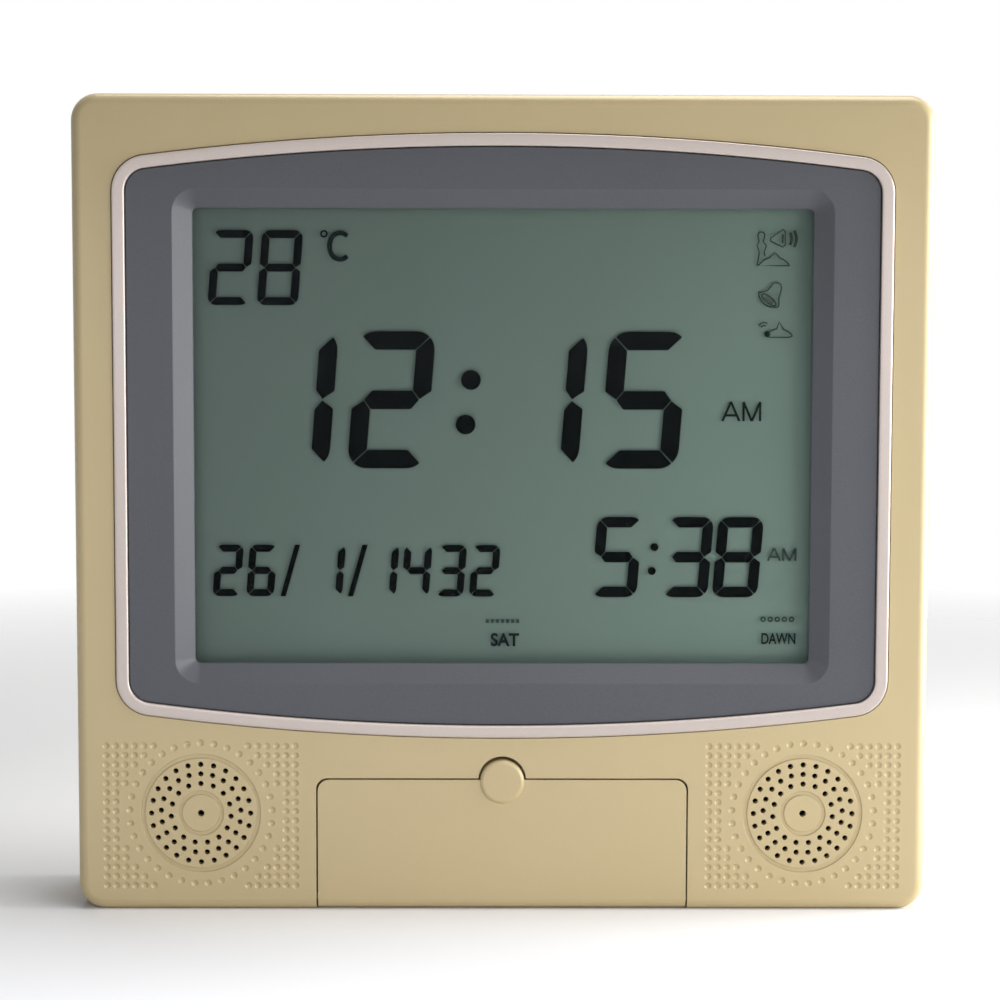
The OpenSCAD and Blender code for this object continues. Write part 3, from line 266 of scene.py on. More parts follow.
def ring_silver(colours):
    """Champagne silver coat of the trim ring."""
    nodes = finish("ring_silver")
    flakes = nodes.noise(6000, detail=1)
    broad = nodes.noise(25, detail=2)
    base = nodes.between(nodes.ramp(flakes, 0.3, 0.7), tinted(colours.ring, 0.93), tinted(colours.ring, 1.04))
    rough = 0.34 + 0.12 * (flakes - 0.5) + 0.06 * (broad - 0.5)
    return nodes.coat(base, rough, nodes.bump(flakes, 0.002 * MM), Metallic=0.45)


def bezel_grey(colours, sizes):
    """Matt dark grey with a fine speckle."""
    nodes = finish("bezel_grey")
    grain = nodes.noise(3200, detail=4, roughness=0.65)
    broad = nodes.noise(18, detail=2)
    shade = nodes.ramp(grain + 0.3 * (broad - 0.5), 0.3, 0.7)
    base = nodes.between(shade, tinted(colours.bezel, 0.86), tinted(colours.bezel, 1.13))
    rough = 0.42 + 0.2 * (grain - 0.5)
    normal = nodes.bump(grain, 0.006 * MM, nodes.rounded(sizes.bezel_edge))
    return nodes.coat(base, rough, normal)


def clear_sheet(name, tint, ior, smudge):
    """Clear plastic or glass, seen through straight, with a faint gloss."""
    nodes = finish(name)
    rough = 0.03 + smudge * nodes.noise(60, detail=3)
    gloss = nodes.add("ShaderNodeBsdfGlossy", None, {"Color": (1, 1, 1, 1), "Roughness": rough})
    clear = nodes.add("ShaderNodeBsdfTransparent", None, {"Color": (*tint, 1)})
    share = nodes.add("ShaderNodeFresnel", None, {"IOR": ior})
    return nodes.surface(nodes.add("ShaderNodeMixShader", None, {0: share, 1: clear, 2: gloss}))


def reflector_green_and_painted_light(colours):
    """Grey-green reflector of the display with painted light: painted shade makes it darker towards the left
    and top, and painted light makes it lighter towards the right and bottom.
    """
    nodes = finish("reflector_green_and_painted_light")
    high = nodes.ramp(nodes.axis("Z"), WINDOW_LO.z, WINDOW_HI.z)
    right = nodes.ramp(nodes.axis("X"), WINDOW_LO.x, WINDOW_HI.x)
    cloud = nodes.noise(9, detail=2)
    # painted light: the mix leans to the lit colour towards the right and lower down; the cloud adds random
    # unevenness
    factor = nodes.ramp(0.8 * right + 0.15 * (1 - high) + 0.3 * (cloud - 0.5), 0.15, 1.0)
    speck = nodes.noise(5200, detail=2)
    base = nodes.between(factor, colours.display_painted_shade, colours.display_painted_light)
    base = nodes.between(nodes.ramp(speck, 0.35, 0.75) * 0.12, base, tinted(colours.display_painted_light, 1.35))
    return nodes.coat(base, 0.6 + 0.2 * (speck - 0.5), nodes.bump(speck, 0.003 * MM))


def ink(name, base):
    """Dark liquid crystal, a little uneven."""
    nodes = finish(name)
    cloud = nodes.noise(420, detail=3)
    colours = nodes.between(cloud, tinted(base, 0.6), tinted(base, 1.5))
    return nodes.coat(colours, 0.5 + 0.1 * (cloud - 0.5), Specular_IOR_Level=0.05)


def solder_mask(name, base, copper):
    """Circuit board: solder mask over straight copper traces."""
    nodes = finish(name)
    cells = {"Vector": nodes.place(), "Scale": 190.0, "Randomness": 0.0}
    lanes = nodes.add("ShaderNodeTexVoronoi", {"distance": "CHEBYCHEV"}, cells, "Distance")
    broken = nodes.noise(90, detail=1) > 0.5
    traces = nodes.ramp(lanes, 0.36, 0.42) * broken
    colours = nodes.between(traces, base, copper)
    mask_grain = nodes.noise(1500, detail=2)
    return nodes.coat(colours, 0.32 + 0.1 * mask_grain, nodes.bump(traces, 0.03 * MM))


def metal(name, base, roughness, edge, metallic=1.0):
    """Plated or drawn metal, a little uneven."""
    nodes = finish(name)
    lines = nodes.noise(1800, detail=3)
    dull = nodes.noise(160, detail=2)
    colours = nodes.between(dull, tinted(base, 0.88), tinted(base, 1.06))
    rough = roughness + 0.18 * (lines - 0.5)
    normal = nodes.bump(lines, 0.002 * MM, nodes.rounded(edge))
    return nodes.coat(colours, rough, normal, Metallic=metallic)


def rubber(name, base, roughness=0.7):
    """Matt rubber with a dusty unevenness."""
    nodes = finish(name)
    dust = nodes.noise(700, detail=4)
    colours = nodes.between(dust, tinted(base, 0.85), tinted(base, 1.2))
    return nodes.coat(colours, roughness + 0.15 * (dust - 0.5), nodes.bump(dust, 0.02 * MM))


def pressed_paper(name, base):
    """Fibrous speaker paper."""
    nodes = finish(name)
    fibres = nodes.noise(2600, detail=5, roughness=0.7)
    colours = nodes.between(fibres, tinted(base, 0.7), tinted(base, 1.4))
    return nodes.coat(colours, 0.85, nodes.bump(fibres, 0.03 * MM))


def cell_sleeve(low, high):
    """Printed sleeve of a battery cell: a dark body with a copper band at one end."""
    nodes = finish("cell_sleeve")
    up = nodes.ramp(nodes.axis("Z"), low, high)
    band = up > 0.7
    scuffs = nodes.noise(900, detail=4, scale=(1, 1, 0.08))
    dark = nodes.between(scuffs, srgb(26, 28, 32), srgb(44, 46, 52))
    copper = nodes.between(scuffs, srgb(176, 112, 62), srgb(214, 150, 92))
    return nodes.coat(nodes.between(band, dark, copper), 0.26 + 0.12 * scuffs, Metallic=0.5)


# ---------------------------------------------------------------- helpers for pieces


def cad(name):
    """The frame's own object of a node."""
    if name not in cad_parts:
        raise RuntimeError(f"the frame has no node {name}")
    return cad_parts[name]


def dress(material, *names):
    """Puts one material on frame nodes."""
    for name in names:
        data = cad(name).data
        data.materials.clear()
        data.materials.append(material)


def crisp(mesh, degrees=32):
    """Smooth faces with sharp edges where they meet at more than this."""
    mesh.polygons.foreach_set("use_smooth", [True] * len(mesh.polygons))
    mesh.set_sharp_from_angle(angle=math.radians(degrees))


def piece(name, mesh, material, nodes=()):
    """A finished object at the origin that rides on the case, in place of the nodes named."""
    mesh.name = name
    mesh.materials.clear()
    mesh.materials.append(material)
    made = bpy.data.objects.new(name, mesh)
    bpy.context.scene.collection.objects.link(made)
    if nodes:
        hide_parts(*nodes)
    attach(made, CASE)


def mesh_of(bm, name):
    """Ends a bmesh: faces outwards, smooth with crisp edges."""
    bmesh.ops.recalc_face_normals(bm, faces=bm.faces)
    mesh = bpy.data.meshes.new(name)
    bm.to_mesh(mesh)
    bm.free()
    crisp(mesh)
    return mesh


def lathe(bm, profile, axis_at, axis, steps=48):
    """Spins (radius, height) points full round an axis through axis_at."""
    axis = Vector(axis).normalized()
    side = axis.orthogonal().normalized()
    points = [bm.verts.new(Vector(axis_at) + side * r + axis * h) for r, h in profile]
    edges = [bm.edges.new(pair) for pair in zip(points, points[1:])]
    bmesh.ops.spin(
        bm, geom=points + edges, cent=axis_at, axis=axis, dvec=(0, 0, 0),
        angle=math.tau, steps=steps, use_merge=True, use_duplicate=False,
    )
    bmesh.ops.remove_doubles(bm, verts=bm.verts, dist=0.001 * MM)


def arc(centre, radius, start, end, steps=8):
    """Points on a circle's arc, angles in degrees."""
    turns = [math.radians(start + (end - start) * i / steps) for i in range(steps + 1)]
    return [(centre[0] + radius * math.cos(t), centre[1] + radius * math.sin(t)) for t in turns]


def curve_mesh(points, thickness, closed=False):
    """A tube mesh along 3D points."""
    data = bpy.data.curves.new("line", "CURVE")
    data.dimensions = "3D"
    data.bevel_depth = thickness / 2
    data.bevel_resolution = 2
    data.use_fill_caps = True
    spline = data.splines.new("POLY")
    spline.points.add(len(points) - 1)
    for target, place in zip(spline.points, points):
        target.co = (*place, 1)
    spline.use_cyclic_u = closed
    holder = bpy.data.objects.new("line", data)
    mesh = bpy.data.meshes.new_from_object(holder)
    bpy.data.objects.remove(holder)
    bpy.data.curves.remove(data)
    return mesh


# ---------------------------------------------------------------- trim ring


def ring_outline(sizes, inset=0.0):
    """The ring's outer edge as (x, z) points: straight sides, bulged upper and lower edges, round corners."""
    half_w = (RING_HI.x - RING_LO.x) / 2 - sizes.ring_flange - inset
    half_h = (RING_HI.z - RING_LO.z) / 2 - sizes.ring_flange - inset
    full_w = half_w + inset
    big = (full_w**2 + sizes.ring_bulge**2) / (2 * sizes.ring_bulge) - inset
    corner = sizes.ring_corner - inset
    x = half_w - corner
    z = half_h - big + math.sqrt((big - corner) ** 2 - x**2)
    lean = math.degrees(math.asin(x / (big - corner)))
    quarter = arc((x, z), corner, 0, 90 - lean, 12)
    top = arc((0, half_h - big), big, 90 - lean, 90 + lean, 64)[1:-1]
    upper = quarter + top + [(-px, pz) for px, pz in reversed(quarter)]
    return upper + [(-px, -pz) for px, pz in upper]


class CLOCK_OT_trim_ring(bpy.types.Operator):
    """Makes the silver ring round the display, with its rounded edges"""

    bl_idname = "clock.trim_ring"
    bl_label = "Trim Ring"

    def execute(self, context):
        sizes = context.scene.clock_sizes
        bm = bmesh.new()
        section = self.profile(sizes)
        points = [bm.verts.new(place) for place in self.loop(sizes, *section[0])]
        for pair in zip(points, points[1:] + points[:1]):
            bm.edges.new(pair)
        for inset, height in section[1:] + section[:1]:
            points = self.draw_on(bm, points, self.loop(sizes, inset, height))
        bmesh.ops.remove_doubles(bm, verts=bm.verts, dist=0.001 * MM)
        material = ring_silver(context.scene.clock_colours)
        piece("trim_ring_domed", mesh_of(bm, "trim_ring_domed"), material, nodes=["trim_ring"])
        return {"FINISHED"}

    @staticmethod
    def profile(sizes):
        """The ring's section: how far in from the band's outer edge, and how far forward."""
        crown, back = -RING_LO.y, -RING_HI.y
        foot = crown - sizes.ring_dome
        half = sizes.ring_band / 2
        across = [-math.cos(math.pi * i / 20) for i in range(21)]
        dome = [(half * (1 + u), foot + sizes.ring_dome * (1 - abs(u) ** 6) ** 0.4) for u in across]
        flange_front = back + sizes.ring_flange_depth
        return [
            (-sizes.ring_flange, back), (-sizes.ring_flange, flange_front), (0, flange_front),
            *dome, (sizes.ring_band, back),
        ]

    @staticmethod
    def loop(sizes, inset, height):
        """A closed line of places round the display."""
        return [(x, -height, DISPLAY_Z + z) for x, z in ring_outline(sizes, inset)]

    @staticmethod
    def draw_on(bm, points, places):
        """Extrudes the loop of points to the next places and returns the new points in the same order."""
        edges = [bm.edges.get(pair) for pair in zip(points, points[1:] + points[:1])]
        made = bmesh.ops.extrude_edge_only(bm, edges=edges)["geom"]
        fresh = {part for part in made if isinstance(part, bmesh.types.BMVert)}
        following = [
            next(edge.other_vert(p) for edge in p.link_edges if edge.other_vert(p) in fresh) for p in points
        ]
        for vertex, place in zip(following, places):
            vertex.co = place
        return following


# ---------------------------------------------------------------- case


class CLOCK_OT_case(bpy.types.Operator):
    """Finishes both housings, the doors, the stand and the keys"""

    bl_idname = "clock.case"
    bl_label = "Case"

    def execute(self, context):
        colours = context.scene.clock_colours
        sizes = context.scene.clock_sizes
        coat = case_plastic(colours, sizes)
        dress(coat, "front_housing", "back_housing", "control_door", "battery_door", "stand_leg")
        key_coat = moulded_plastic("key_plastic", colours.key, sizes.soft_edge, roughness=0.48)
        keys = [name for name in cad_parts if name.endswith("_key")]
        dress(key_coat, *keys)
        dress(bezel_grey(colours, sizes), "display_bezel")
        return {"FINISHED"}


# ---------------------------------------------------------------- display


class CLOCK_OT_display(bpy.types.Operator):
    """Finishes the window and the liquid-crystal cell and adds its words and marks"""

    bl_idname = "clock.display"
    bl_label = "Display"

    # each word, its shade and added stroke, then its left, right, bottom and top in millimetres
    words = (
        ("SAT", "dark", 0.028, -3.1, 4.5, 69.6, 73.2),
        ("DAWN", "dark", 0.018, 69.2, 78.3, 70.3, 73.3),
    )

    def execute(self, context):
        colours = context.scene.clock_colours
        sizes = context.scene.clock_sizes
        dress(clear_sheet("clear_window", (0.985, 0.99, 0.985), 1.06, 0.05), "display_window")
        glass = clear_sheet("cell_glass", (0.97, 0.985, 0.975), 1.02, 0.02)
        self.pane("lcd_front_glass", glass, sizes.fine_edge, open_front=False)
        self.pane("lcd_rear_glass", glass, sizes.fine_edge, open_front=True)
        dress(reflector_green_and_painted_light(colours), "lcd_reflector")
        dress(ink("figures", colours.ink), "lcd_segments")
        dress(rubber("cell_seal", srgb(126, 138, 130), 0.6), "lcd_seal")
        inks = {
            "dark": ink("dark_marks", colours.dark_ink),
            "faint": ink("faint_marks", colours.faint_ink),
            "pale": ink("pale_marks", colours.pale_ink),
        }
        for number, (text, shade, weight, *place) in enumerate(self.words):
            piece(f"word_{number}_{text.lower()}", self.word(text, place, weight), inks[shade])
        for name, (shade, strokes) in marks().items():
            piece(f"mark_{name}", self.lines(strokes), inks[shade])
        return {"FINISHED"}

    @staticmethod
    def pane(name, material, edge, open_front):
        """A pane with ground edges. Its faces that are bonded to the next layer are left open."""
        lo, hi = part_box(name)
        bm = bmesh.new()
        size, middle = hi - lo, (lo + hi) / 2
        bmesh.ops.create_cube(bm, size=1, matrix=Matrix.Translation(middle) @ Matrix.Diagonal((*size, 1)))
        bmesh.ops.bevel(
            bm, geom=bm.edges[:], offset=edge, offset_type="OFFSET", affect="EDGES",
            segments=2, profile=0.5, material=-1,
        )
        bonded = [
            face for face in bm.faces
            if abs(face.normal.y) > 0.99 and (face.normal.y > 0 or open_front)
            and face.calc_area() > size.x * size.z / 2
        ]
        bmesh.ops.delete(bm, geom=bonded, context="FACES_ONLY")
        mesh = bpy.data.meshes.new(name)
        bm.to_mesh(mesh)
        bm.free()
        crisp(mesh)
        piece(f"{name}_pane", mesh, material, nodes=[name])

    @staticmethod
    def layer(mesh, across):
        """Lays a flat mesh, drawn in X and Y, into the layer of the figures."""
        lo = [min(v.co[i] for v in mesh.vertices) for i in range(3)]
        hi = [max(v.co[i] for v in mesh.vertices) for i in range(3)]
        left, right, bottom, top = (value * MM for value in across)
        front, back = FIGURES_LO.y, FIGURES_HI.y
        for vertex in mesh.vertices:
            u, v, w = ((vertex.co[i] - lo[i]) / (hi[i] - lo[i]) for i in range(3))
            vertex.co = (left + u * (right - left), back + w * (front - back), bottom + v * (top - bottom))
        return mesh

    def word(self, text, place, weight):
        """A word of plain letters that fills its place."""
        data = bpy.data.curves.new("word", "FONT")
        data.body = text
        data.extrude = 0.01
        data.offset = weight
        holder = bpy.data.objects.new("word", data)
        bpy.context.scene.collection.objects.link(holder)
        seen = holder.evaluated_get(bpy.context.evaluated_depsgraph_get())
        mesh = bpy.data.meshes.new_from_object(seen)
        bpy.data.objects.remove(holder)
        bpy.data.curves.remove(data)
        return self.layer(mesh, place)

    @staticmethod
    def lines(strokes):
        """Thin lines of the display, flattened into the layer of the figures."""
        bm = bmesh.new()
        middle = (FIGURES_LO.y + FIGURES_HI.y) / 2
        for points, thickness, closed in strokes:
            tube = curve_mesh([(x * MM, middle, z * MM) for x, z in points], thickness * MM, closed)
            bm.from_mesh(tube)
            bpy.data.meshes.remove(tube)
        depth = FIGURES_HI.y - FIGURES_LO.y
        widest = max(thickness for _, thickness, _ in strokes) * MM
        bmesh.ops.scale(
            bm, verts=bm.verts, vec=(1, depth / widest, 1), space=Matrix.Translation((0, -middle, 0))
        )
        return mesh_of(bm, "lines")


def before_noon(left, right, bottom, top, thickness):
    """The letters AM as strokes that fill their place."""
    half = thickness / 2
    low, high = bottom + half, top - half
    near, far = left + half, right - half
    first, second = near + 0.45 * (far - near), near + 0.56 * (far - near)
    bar = low + 0.3 * (high - low)
    peak = (near + first) / 2
    lean = 0.3 * (peak - near)
    legs = [(near, low), (peak, high), (first, low)]
    posts = [(second, low), (second, high), ((second + far) / 2, low), (far, high), (far, low)]
    pairs = [((near + lean, bar), (first - lean, bar))]
    pairs += list(zip(legs, legs[1:])) + list(zip(posts, posts[1:]))
    return [(list(pair), thickness, False) for pair in pairs]


def squeezed(centre, width, height, points):
    """Points of a unit circle, stretched to these half sizes about a centre."""
    return [(centre[0] + width * x, centre[1] + height * z) for x, z in points]


def marks():
    """The display's small pictures: a shade, and strokes of points, thickness and closed, in millimetres."""
    thin = 0.36
    tower = [(67.0, 170.9), (67.5, 174.5), (66.9, 176.2), (67.4, 177.3)]
    tower += arc((68.0, 178.9), 0.92, 190, -10, 8)
    tower += [(68.5, 177.3), (69.4, 176.2), (68.8, 174.5), (69.0, 173.4)]
    hall = [(67.0, 170.9), (75.3, 171.0)]
    hall += arc((71.6, 168.6), 4.6, 30, 72, 5) + [(71.65, 174.4)] + arc((71.4, 168.4), 4.8, 104, 148, 5)
    horn = [(70.5, 177.4), (70.5, 178.2), (73.7, 180.5), (74.3, 179.9), (74.3, 176.4), (73.7, 175.8)]
    horn_rim = [(73.66, 179.2), (73.68, 176.9)]
    near_wave, far_wave = arc((72.6, 178), 3.4, -28, 28, 6), arc((73.3, 178), 4.0, -33, 33, 6)
    bell = arc((72.1, 165.1), 1.4, 150, -10, 8) + [(72.8, 162.3)] + arc((72.1, 160.7), 0.7, 0, -100, 4)
    bell += arc((71.3, 163.9), 3.85, 260, 178, 6) + [(67.9, 163.9), (69.9, 164.5)]
    mouth = [(70.2 + 1.8 * x + 0.5 * z, 161.95 - 1.4 * x + 0.66 * z) for x, z in arc((0, 0), 1, 0, 345, 23)]
    clapper = [(69.1, 162.8), (71.3, 161.1)]
    low_hall = [(70.4, 152.1), (75.6, 152.1)]
    low_hall += arc((73.2, 150.4), 3.9, 32, 76, 4) + [(72.95, 156.2)] + arc((72.8, 150.2), 4.1, 96, 126, 4)
    low_waves = [(arc((69.0, 154.25), radius, 60, 150, 5), thin, False) for radius in (0.95, 1.75)]
    celsius = squeezed((-42.95, 175.8), 2.8, 3.5, arc((0, 0), 1, 48, 312, 18))
    dashes = [[(-4.4 + 1.35 * i, 76.4), (-3.6 + 1.35 * i, 76.4)] for i in range(7)]
    circles = [arc((69.6 + 1.9 * i, 77.0), 0.55, 0, 330, 11) for i in range(5)]
    return {
        "celsius": ("dark", [(celsius, 1.25, False)]),
        "speaker": ("faint", [
            (tower, thin, False), (hall, thin, True), (horn, thin, True), (horn_rim, 0.5, False),
            (near_wave, 0.75, False), (far_wave, 0.7, False),
        ]),
        "bell": ("faint", [(bell, thin, True), (mouth, thin, True)]),
        "mouth": ("pale", [(clapper, 1.1, False)]),
        "call": ("faint", [(low_hall, thin, True), *low_waves]),
        "dot": ("dark", [(arc((69.85, 152.95), 0.35, 0, 315, 7), 1.0, True)]),
        "morning": ("dark", before_noon(57.9, 68.5, 129.6, 135.3, 0.62)),
        "call_morning": ("faint", before_noon(70.4, 78.3, 92.4, 96.3, 0.56)),
        "days": ("faint", [(dash, 1.0, False) for dash in dashes]),
        "calls": ("faint", [(circle, 0.4, True) for circle in circles]),
    }


# ---------------------------------------------------------------- speakers


class CLOCK_OT_speakers(bpy.types.Operator):
    """Makes the paper cones and finishes baskets and magnets"""

    bl_idname = "clock.speakers"
    bl_label = "Speakers"

    def execute(self, context):
        sizes = context.scene.clock_sizes
        paper = pressed_paper("speaker_paper", srgb(48, 46, 44))
        black_steel = metal("black_steel", srgb(60, 61, 63), 0.42, sizes.fine_edge, metallic=0.7)
        zinc = metal("magnet_zinc", srgb(168, 170, 174), 0.36, sizes.fine_edge)
        for side in ("left", "right"):
            dress(black_steel, f"{side}_speaker_frame")
            dress(zinc, f"{side}_speaker_magnet")
            lo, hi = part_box(f"{side}_speaker_cone")
            mesh = self.cone(lo, hi)
            piece(f"{side}_speaker_paper", mesh, paper, nodes=[f"{side}_speaker_cone"])
        return {"FINISHED"}

    @staticmethod
    def cone(lo, hi):
        """A thin cone with a rolled surround and a dust cap, open to the front."""
        middle = ((lo.x + hi.x) / 2, hi.y, (lo.z + hi.z) / 2)
        rim, deep = (hi.x - lo.x) / 2, hi.y - lo.y
        wall, roll, ripple = 0.35 * MM, 1.3 * MM, 0.12 * MM
        cap, cap_rise = 5 * MM, 1.6 * MM
        start, steps = rim - 2 * roll, 8
        surround = arc((rim - roll, deep - roll), roll, 0, 180, 9)
        ribs = [
            (
                start - (start - cap) * i / steps,
                deep - roll - (deep - 2.2 * roll) * i / steps + (ripple if i % 2 else 0),
            )
            for i in range(steps + 1)
        ]
        dust_cap = squeezed((0, ribs[-1][1]), cap, cap_rise, arc((0, 0), 1, 10, 90, 5))
        profile = [(rim, deep - roll - wall)] + surround + ribs + dust_cap
        profile[-1] = (0, profile[-1][1])
        bm = bmesh.new()
        lathe(bm, profile, middle, (0, -1, 0), 48)
        bmesh.ops.recalc_face_normals(bm, faces=bm.faces)
        bmesh.ops.solidify(bm, geom=bm.faces[:], thickness=wall)
        return mesh_of(bm, "cone")


# ---------------------------------------------------------------- battery box


class CLOCK_OT_batteries(bpy.types.Operator):
    """Makes the cells and the coiled contact springs"""

    bl_idname = "clock.batteries"
    bl_label = "Battery Box"

    count = 4

    def execute(self, context):
        sizes = context.scene.clock_sizes
        lo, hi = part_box("batteries")
        middle, half = (lo + hi) / 2, (hi.z - lo.z) / 2
        radius = (hi.y - lo.y) / 2
        pitch = (hi.x - lo.x - 2 * radius) / (self.count - 1)
        spring_lo, spring_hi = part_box("battery_springs")
        room = (spring_hi.z - spring_lo.z) / 2 - half
        ends = metal("cell_cap", srgb(196, 196, 198), 0.28, sizes.fine_edge)
        wire = metal("spring_wire", srgb(206, 206, 208), 0.22, sizes.fine_edge)
        coils = bmesh.new()
        for number in range(self.count):
            up = 1 if number % 2 == 0 else -1
            at = Vector((lo.x + radius + number * pitch, middle.y, middle.z))
            self.cell(number, at, up, radius, half, ends)
            self.coil(coils, at - Vector((0, 0, up * half)), up, room, sizes.wire)
        piece("battery_coils", mesh_of(coils, "coils"), wire, nodes=["battery_springs"])
        dress(metal("contact_plate", srgb(204, 200, 190), 0.3, sizes.fine_edge), "battery_contacts")
        return {"FINISHED"}

    def cell(self, number, at, up, radius, half, ends):
        """One cell: sleeve with rolled ends, and the cap and base that show beyond it."""
        lip, nub = 0.5 * MM, 1.2 * MM
        shoulder = half - nub
        sleeve = [(radius - 1.1 * MM, -half + 0.05 * MM), (radius - lip, -half)]
        sleeve += arc((radius - lip, -half + lip), lip, -80, 0, 4)
        sleeve += arc((radius - lip, shoulder - lip), lip, 0, 90, 4)
        sleeve += [(radius - 1.3 * MM, shoulder - 0.1 * MM)]
        bm = bmesh.new()
        lathe(bm, sleeve, at, (0, 0, up), 40)
        coat = cell_sleeve(at.z - up * half, at.z + up * half)
        piece(f"cell_{number}_sleeve", mesh_of(bm, "sleeve"), coat, nodes=["batteries"])
        cap = [
            (0, half), (2.5 * MM, half), (2.7 * MM, half - 0.2 * MM), (2.75 * MM, shoulder + 0.1 * MM),
            (3.2 * MM, shoulder - 0.15 * MM), (radius - 1.2 * MM, shoulder - 0.15 * MM),
            (radius - 1.2 * MM, shoulder - 0.6 * MM),
        ]
        base = [
            (0, -half + 0.25 * MM), (3.2 * MM, -half + 0.2 * MM), (3.6 * MM, -half),
            (radius - MM, -half + 0.08 * MM), (radius - MM, -half + 0.6 * MM),
        ]
        bm = bmesh.new()
        lathe(bm, cap, at, (0, 0, up), 32)
        lathe(bm, base, at, (0, 0, up), 32)
        piece(f"cell_{number}_ends", mesh_of(bm, "ends"), ends, nodes=["batteries"])

    @staticmethod
    def coil(bm, at, up, room, wire):
        """A cone-shaped spring that stands between the contact plate and the cell's base."""
        turns, wide, narrow, play = 3.5, 4.6 * MM, 2.8 * MM, 0.3 * MM
        steps = int(turns * 16)
        points = []
        for i in range(steps + 1):
            t = i / steps
            turn = math.tau * turns * t
            r = wide + (narrow - wide) * t
            z = -room + wire / 2 + (room - wire - play) * t
            points.append((at.x + r * math.cos(turn), at.y + r * math.sin(turn), at.z + up * z))
        tube = curve_mesh(points, wire)
        bm.from_mesh(tube)
        bpy.data.meshes.remove(tube)


# ---------------------------------------------------------------- inner pieces


class CLOCK_OT_inner_pieces(bpy.types.Operator):
    """Finishes boards, switches, screws, leads and the volume control"""

    bl_idname = "clock.inner_pieces"
    bl_label = "Inner Pieces"

    def execute(self, context):
        sizes = context.scene.clock_sizes
        green = solder_mask("green_board", srgb(24, 92, 52), srgb(58, 132, 78))
        dress(green, "main_board", "volume_board")
        dress(solder_mask("brown_board", srgb(150, 116, 66), srgb(178, 126, 74)), "key_board")
        black = moulded_plastic("black_plastic", srgb(34, 34, 37), sizes.fine_edge, roughness=0.5)
        dress(black, "board_components", "latch_body", "volume_pot", "power_socket", "temperature_sensor")
        wheel = moulded_plastic("wheel_plastic", srgb(30, 30, 33), sizes.fine_edge, roughness=0.6)
        dress(wheel, "volume_wheel")
        white = moulded_plastic("white_plastic", srgb(222, 221, 214), sizes.fine_edge)
        dress(white, "latch_plunger", "lcd_holder")
        dress(rubber("membrane_rubber", srgb(70, 70, 73)), "key_membrane")
        dress(rubber("contact_rubber", srgb(198, 140, 150), 0.55), "lcd_connectors")
        dress(rubber("red_lead", srgb(168, 34, 28), 0.45), "speaker_leads")
        dress(rubber("black_lead", srgb(36, 36, 38), 0.45), "battery_leads")
        zinc = metal("zinc_screw", srgb(196, 198, 202), 0.3, sizes.fine_edge)
        dress(zinc, "bezel_screws", "board_screws", "key_board_screws", "volume_board_screws")
        dress(metal("black_screw", srgb(52, 52, 55), 0.4, sizes.fine_edge, metallic=0.8), "housing_screws")
        dress(metal("bright_pin", srgb(202, 203, 206), 0.2, sizes.fine_edge), "stand_pin", "volume_shaft")
        self.latch_spring(sizes)
        return {"FINISHED"}

    @staticmethod
    def latch_spring(sizes):
        """The coil in the push latch."""
        lo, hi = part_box("latch_spring")
        middle = (lo + hi) / 2
        wire, turns, steps = 0.35 * MM, 3, 48
        radius = (hi.x - lo.x) / 2 - wire / 2
        points = []
        for i in range(steps + 1):
            turn = math.tau * turns * i / steps
            y = lo.y + wire / 2 + (hi.y - lo.y - wire) * i / steps
            points.append((middle.x + radius * math.cos(turn), y, middle.z + radius * math.sin(turn)))
        steel = metal("latch_wire", srgb(206, 206, 208), 0.22, sizes.fine_edge)
        mesh = curve_mesh(points, wire)
        crisp(mesh)
        piece("latch_coil", mesh, steel, nodes=["latch_spring"])


# ---------------------------------------------------------------- stage


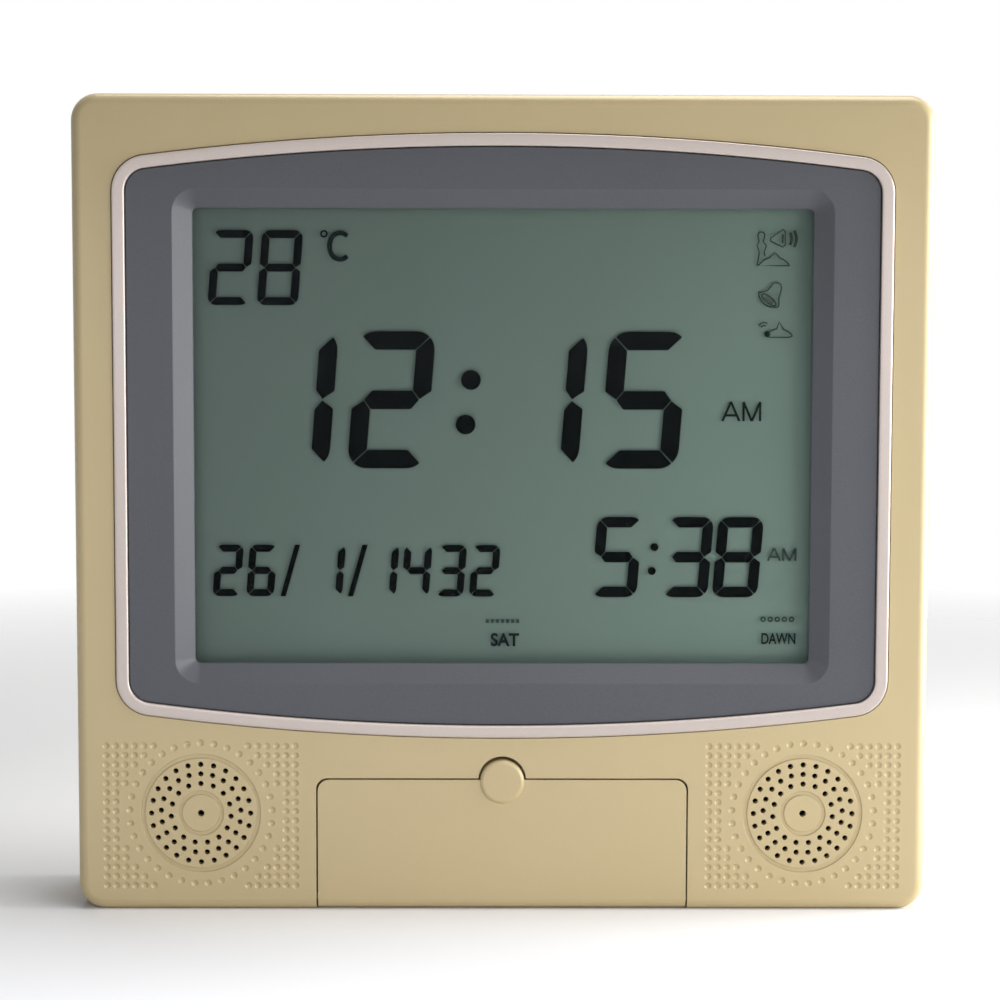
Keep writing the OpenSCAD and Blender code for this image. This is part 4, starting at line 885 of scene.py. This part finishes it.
class CLOCK_OT_stage(bpy.types.Operator):
    """Sets the floor, the light, the background and the camera"""

    bl_idname = "clock.stage"
    bl_label = "Stage"

    # the photograph's view
    azimuth = -0.45
    elevation = 4.66
    roll = 0.14
    distance = 0.65
    lens = 86.4
    aim = (-0.6 * MM, 0, 107.8 * MM)
    # light that comes from all round, where the white background isn't seen itself
    ambient = (0.05, 0.05, 0.052)
    # the floor's radius, and from where to where it fades
    floor_radius, fade_start, fade_end = 1.6, 0.28, 0.75
    # name, place, where it faces, size, watts and colour of each soft lamp
    lamps = (
        ("window", (0.75, -0.5, 0.12), (0, 0, 0.107), (0.5, 0.6), 3.4, (1.0, 0.995, 0.98)),
        ("side", (0.55, 0.0, 0.12), (0.11, 0, 0.107), (0.3, 0.4), 5.0, (1.0, 1.0, 1.0)),
        ("fill", (-0.7, -1.2, 0.3), (0, 0, 0.107), (1.0, 1.0), 0.25, (0.98, 0.99, 1.0)),
        ("top", (0.15, 0.1, 1.1), (0, 0, 0.107), (0.9, 0.6), 9.5, (1.0, 1.0, 1.0)),
        ("desk", (0.1, -0.34, 0.16), (0.1, -0.3, 0), (0.8, 0.3), 0.8, (0.97, 0.985, 1.1)),
    )

    def execute(self, context):
        scene = context.scene
        scene.view_settings.view_transform = "Standard"
        self.camera(scene)
        self.background(scene)
        self.floor(scene)
        for lamp in self.lamps:
            self.lamp(scene, *lamp)
        return {"FINISHED"}

    def camera(self, scene):
        """A camera on the photograph's place."""
        data = bpy.data.cameras.new("camera")
        data.lens = self.lens
        data.sensor_width = 36
        data.clip_start, data.clip_end = 0.05, 50
        made = bpy.data.objects.new("camera", data)
        scene.collection.objects.link(made)
        a, e = math.radians(self.azimuth), math.radians(self.elevation)
        back = Vector((math.sin(a) * math.cos(e), -math.cos(a) * math.cos(e), math.sin(e)))
        made.location = Vector(self.aim) + back * self.distance
        made.rotation_mode = "QUATERNION"
        turn = (-back).to_track_quat("-Z", "Y")
        made.rotation_quaternion = turn @ Matrix.Rotation(math.radians(self.roll), 3, "Z").to_quaternion()
        scene.camera = made

    def background(self, scene):
        """White where it is seen, also in glass and metal; a plain grey light otherwise."""
        world = bpy.data.worlds.new("backdrop")
        scene.world = world
        nodes = Nodes(world)
        rays = {name: nodes.add("ShaderNodeLightPath", output=name)
                for name in ("Is Camera Ray", "Is Glossy Ray", "Is Transmission Ray")}
        seen = nodes.add("ShaderNodeMath", {"operation": "ADD", "use_clamp": True},
                         {0: rays["Is Camera Ray"], 1: rays["Is Glossy Ray"] + rays["Is Transmission Ray"]})
        shade = nodes.between(seen, self.ambient, (1, 1, 1))
        glow = nodes.add("ShaderNodeBackground", None, {"Color": shade, "Strength": 1.0})
        nodes.add("ShaderNodeOutputWorld", None, {"Surface": glow})

    def floor(self, scene):
        """A pale floor that fades into the background."""
        bm = bmesh.new()
        bmesh.ops.create_circle(bm, cap_ends=True, segments=96, radius=self.floor_radius)
        mesh = bpy.data.meshes.new("floor")
        bm.to_mesh(mesh)
        bm.free()
        made = bpy.data.objects.new("floor", mesh)
        scene.collection.objects.link(made)
        nodes = finish("floor_white")
        here = nodes.add("ShaderNodeTexCoord", output="Object")
        far = nodes.add("ShaderNodeVectorMath", {"operation": "LENGTH"}, {0: here}, "Value")
        fade = nodes.ramp(far, self.fade_start, self.fade_end)
        white = nodes.add("ShaderNodeBsdfDiffuse", None, {"Color": (0.9, 0.9, 0.9, 1)})
        clear = nodes.add("ShaderNodeBsdfTransparent")
        faded = nodes.add("ShaderNodeMixShader", None, {0: fade, 1: white, 2: clear})
        mesh.materials.append(nodes.surface(faded))

    @staticmethod
    def lamp(scene, name, place, target, size, watts, tint):
        """A soft rectangular lamp."""
        data = bpy.data.lights.new(name, "AREA")
        data.shape = "RECTANGLE"
        data.size, data.size_y = size
        data.energy = watts
        data.color = tint
        made = bpy.data.objects.new(name, data)
        scene.collection.objects.link(made)
        made.location = place
        made.rotation_mode = "QUATERNION"
        made.rotation_quaternion = (Vector(target) - Vector(place)).to_track_quat("-Z", "Y")
        made.visible_camera = False


# ---------------------------------------------------------------- add-on


OPERATORS = (
    CLOCK_OT_case,
    CLOCK_OT_trim_ring,
    CLOCK_OT_display,
    CLOCK_OT_speakers,
    CLOCK_OT_batteries,
    CLOCK_OT_inner_pieces,
    CLOCK_OT_stage,
)


class CLOCK_PT_build(bpy.types.Panel):
    """Sidebar panel of the clock's steps, sizes and colours"""

    bl_idname = "CLOCK_PT_build"
    bl_label = "Azan Clock"
    bl_space_type = "VIEW_3D"
    bl_region_type = "UI"
    bl_category = "Clock"

    def draw(self, context):
        layout = self.layout
        for group in (context.scene.clock_sizes, context.scene.clock_colours):
            box = layout.box()
            for name in group.__annotations__:
                box.prop(group, name)
        for operator in OPERATORS:
            layout.operator(operator.bl_idname)


CLASSES = (ClockSizes, ClockColours, *OPERATORS, CLOCK_PT_build)


def register():
    for cls in CLASSES:
        bpy.utils.register_class(cls)
    bpy.types.Scene.clock_sizes = PointerProperty(type=ClockSizes)
    bpy.types.Scene.clock_colours = PointerProperty(type=ClockColours)


def unregister():
    del bpy.types.Scene.clock_colours
    del bpy.types.Scene.clock_sizes
    for cls in reversed(CLASSES):
        bpy.utils.unregister_class(cls)


def main():
    """Builds the whole scene, one operator after another."""
    register()
    for operator in OPERATORS:
        group, name = operator.bl_idname.split(".")
        getattr(getattr(bpy.ops, group), name)()


if __name__ == "__main__":
    main()
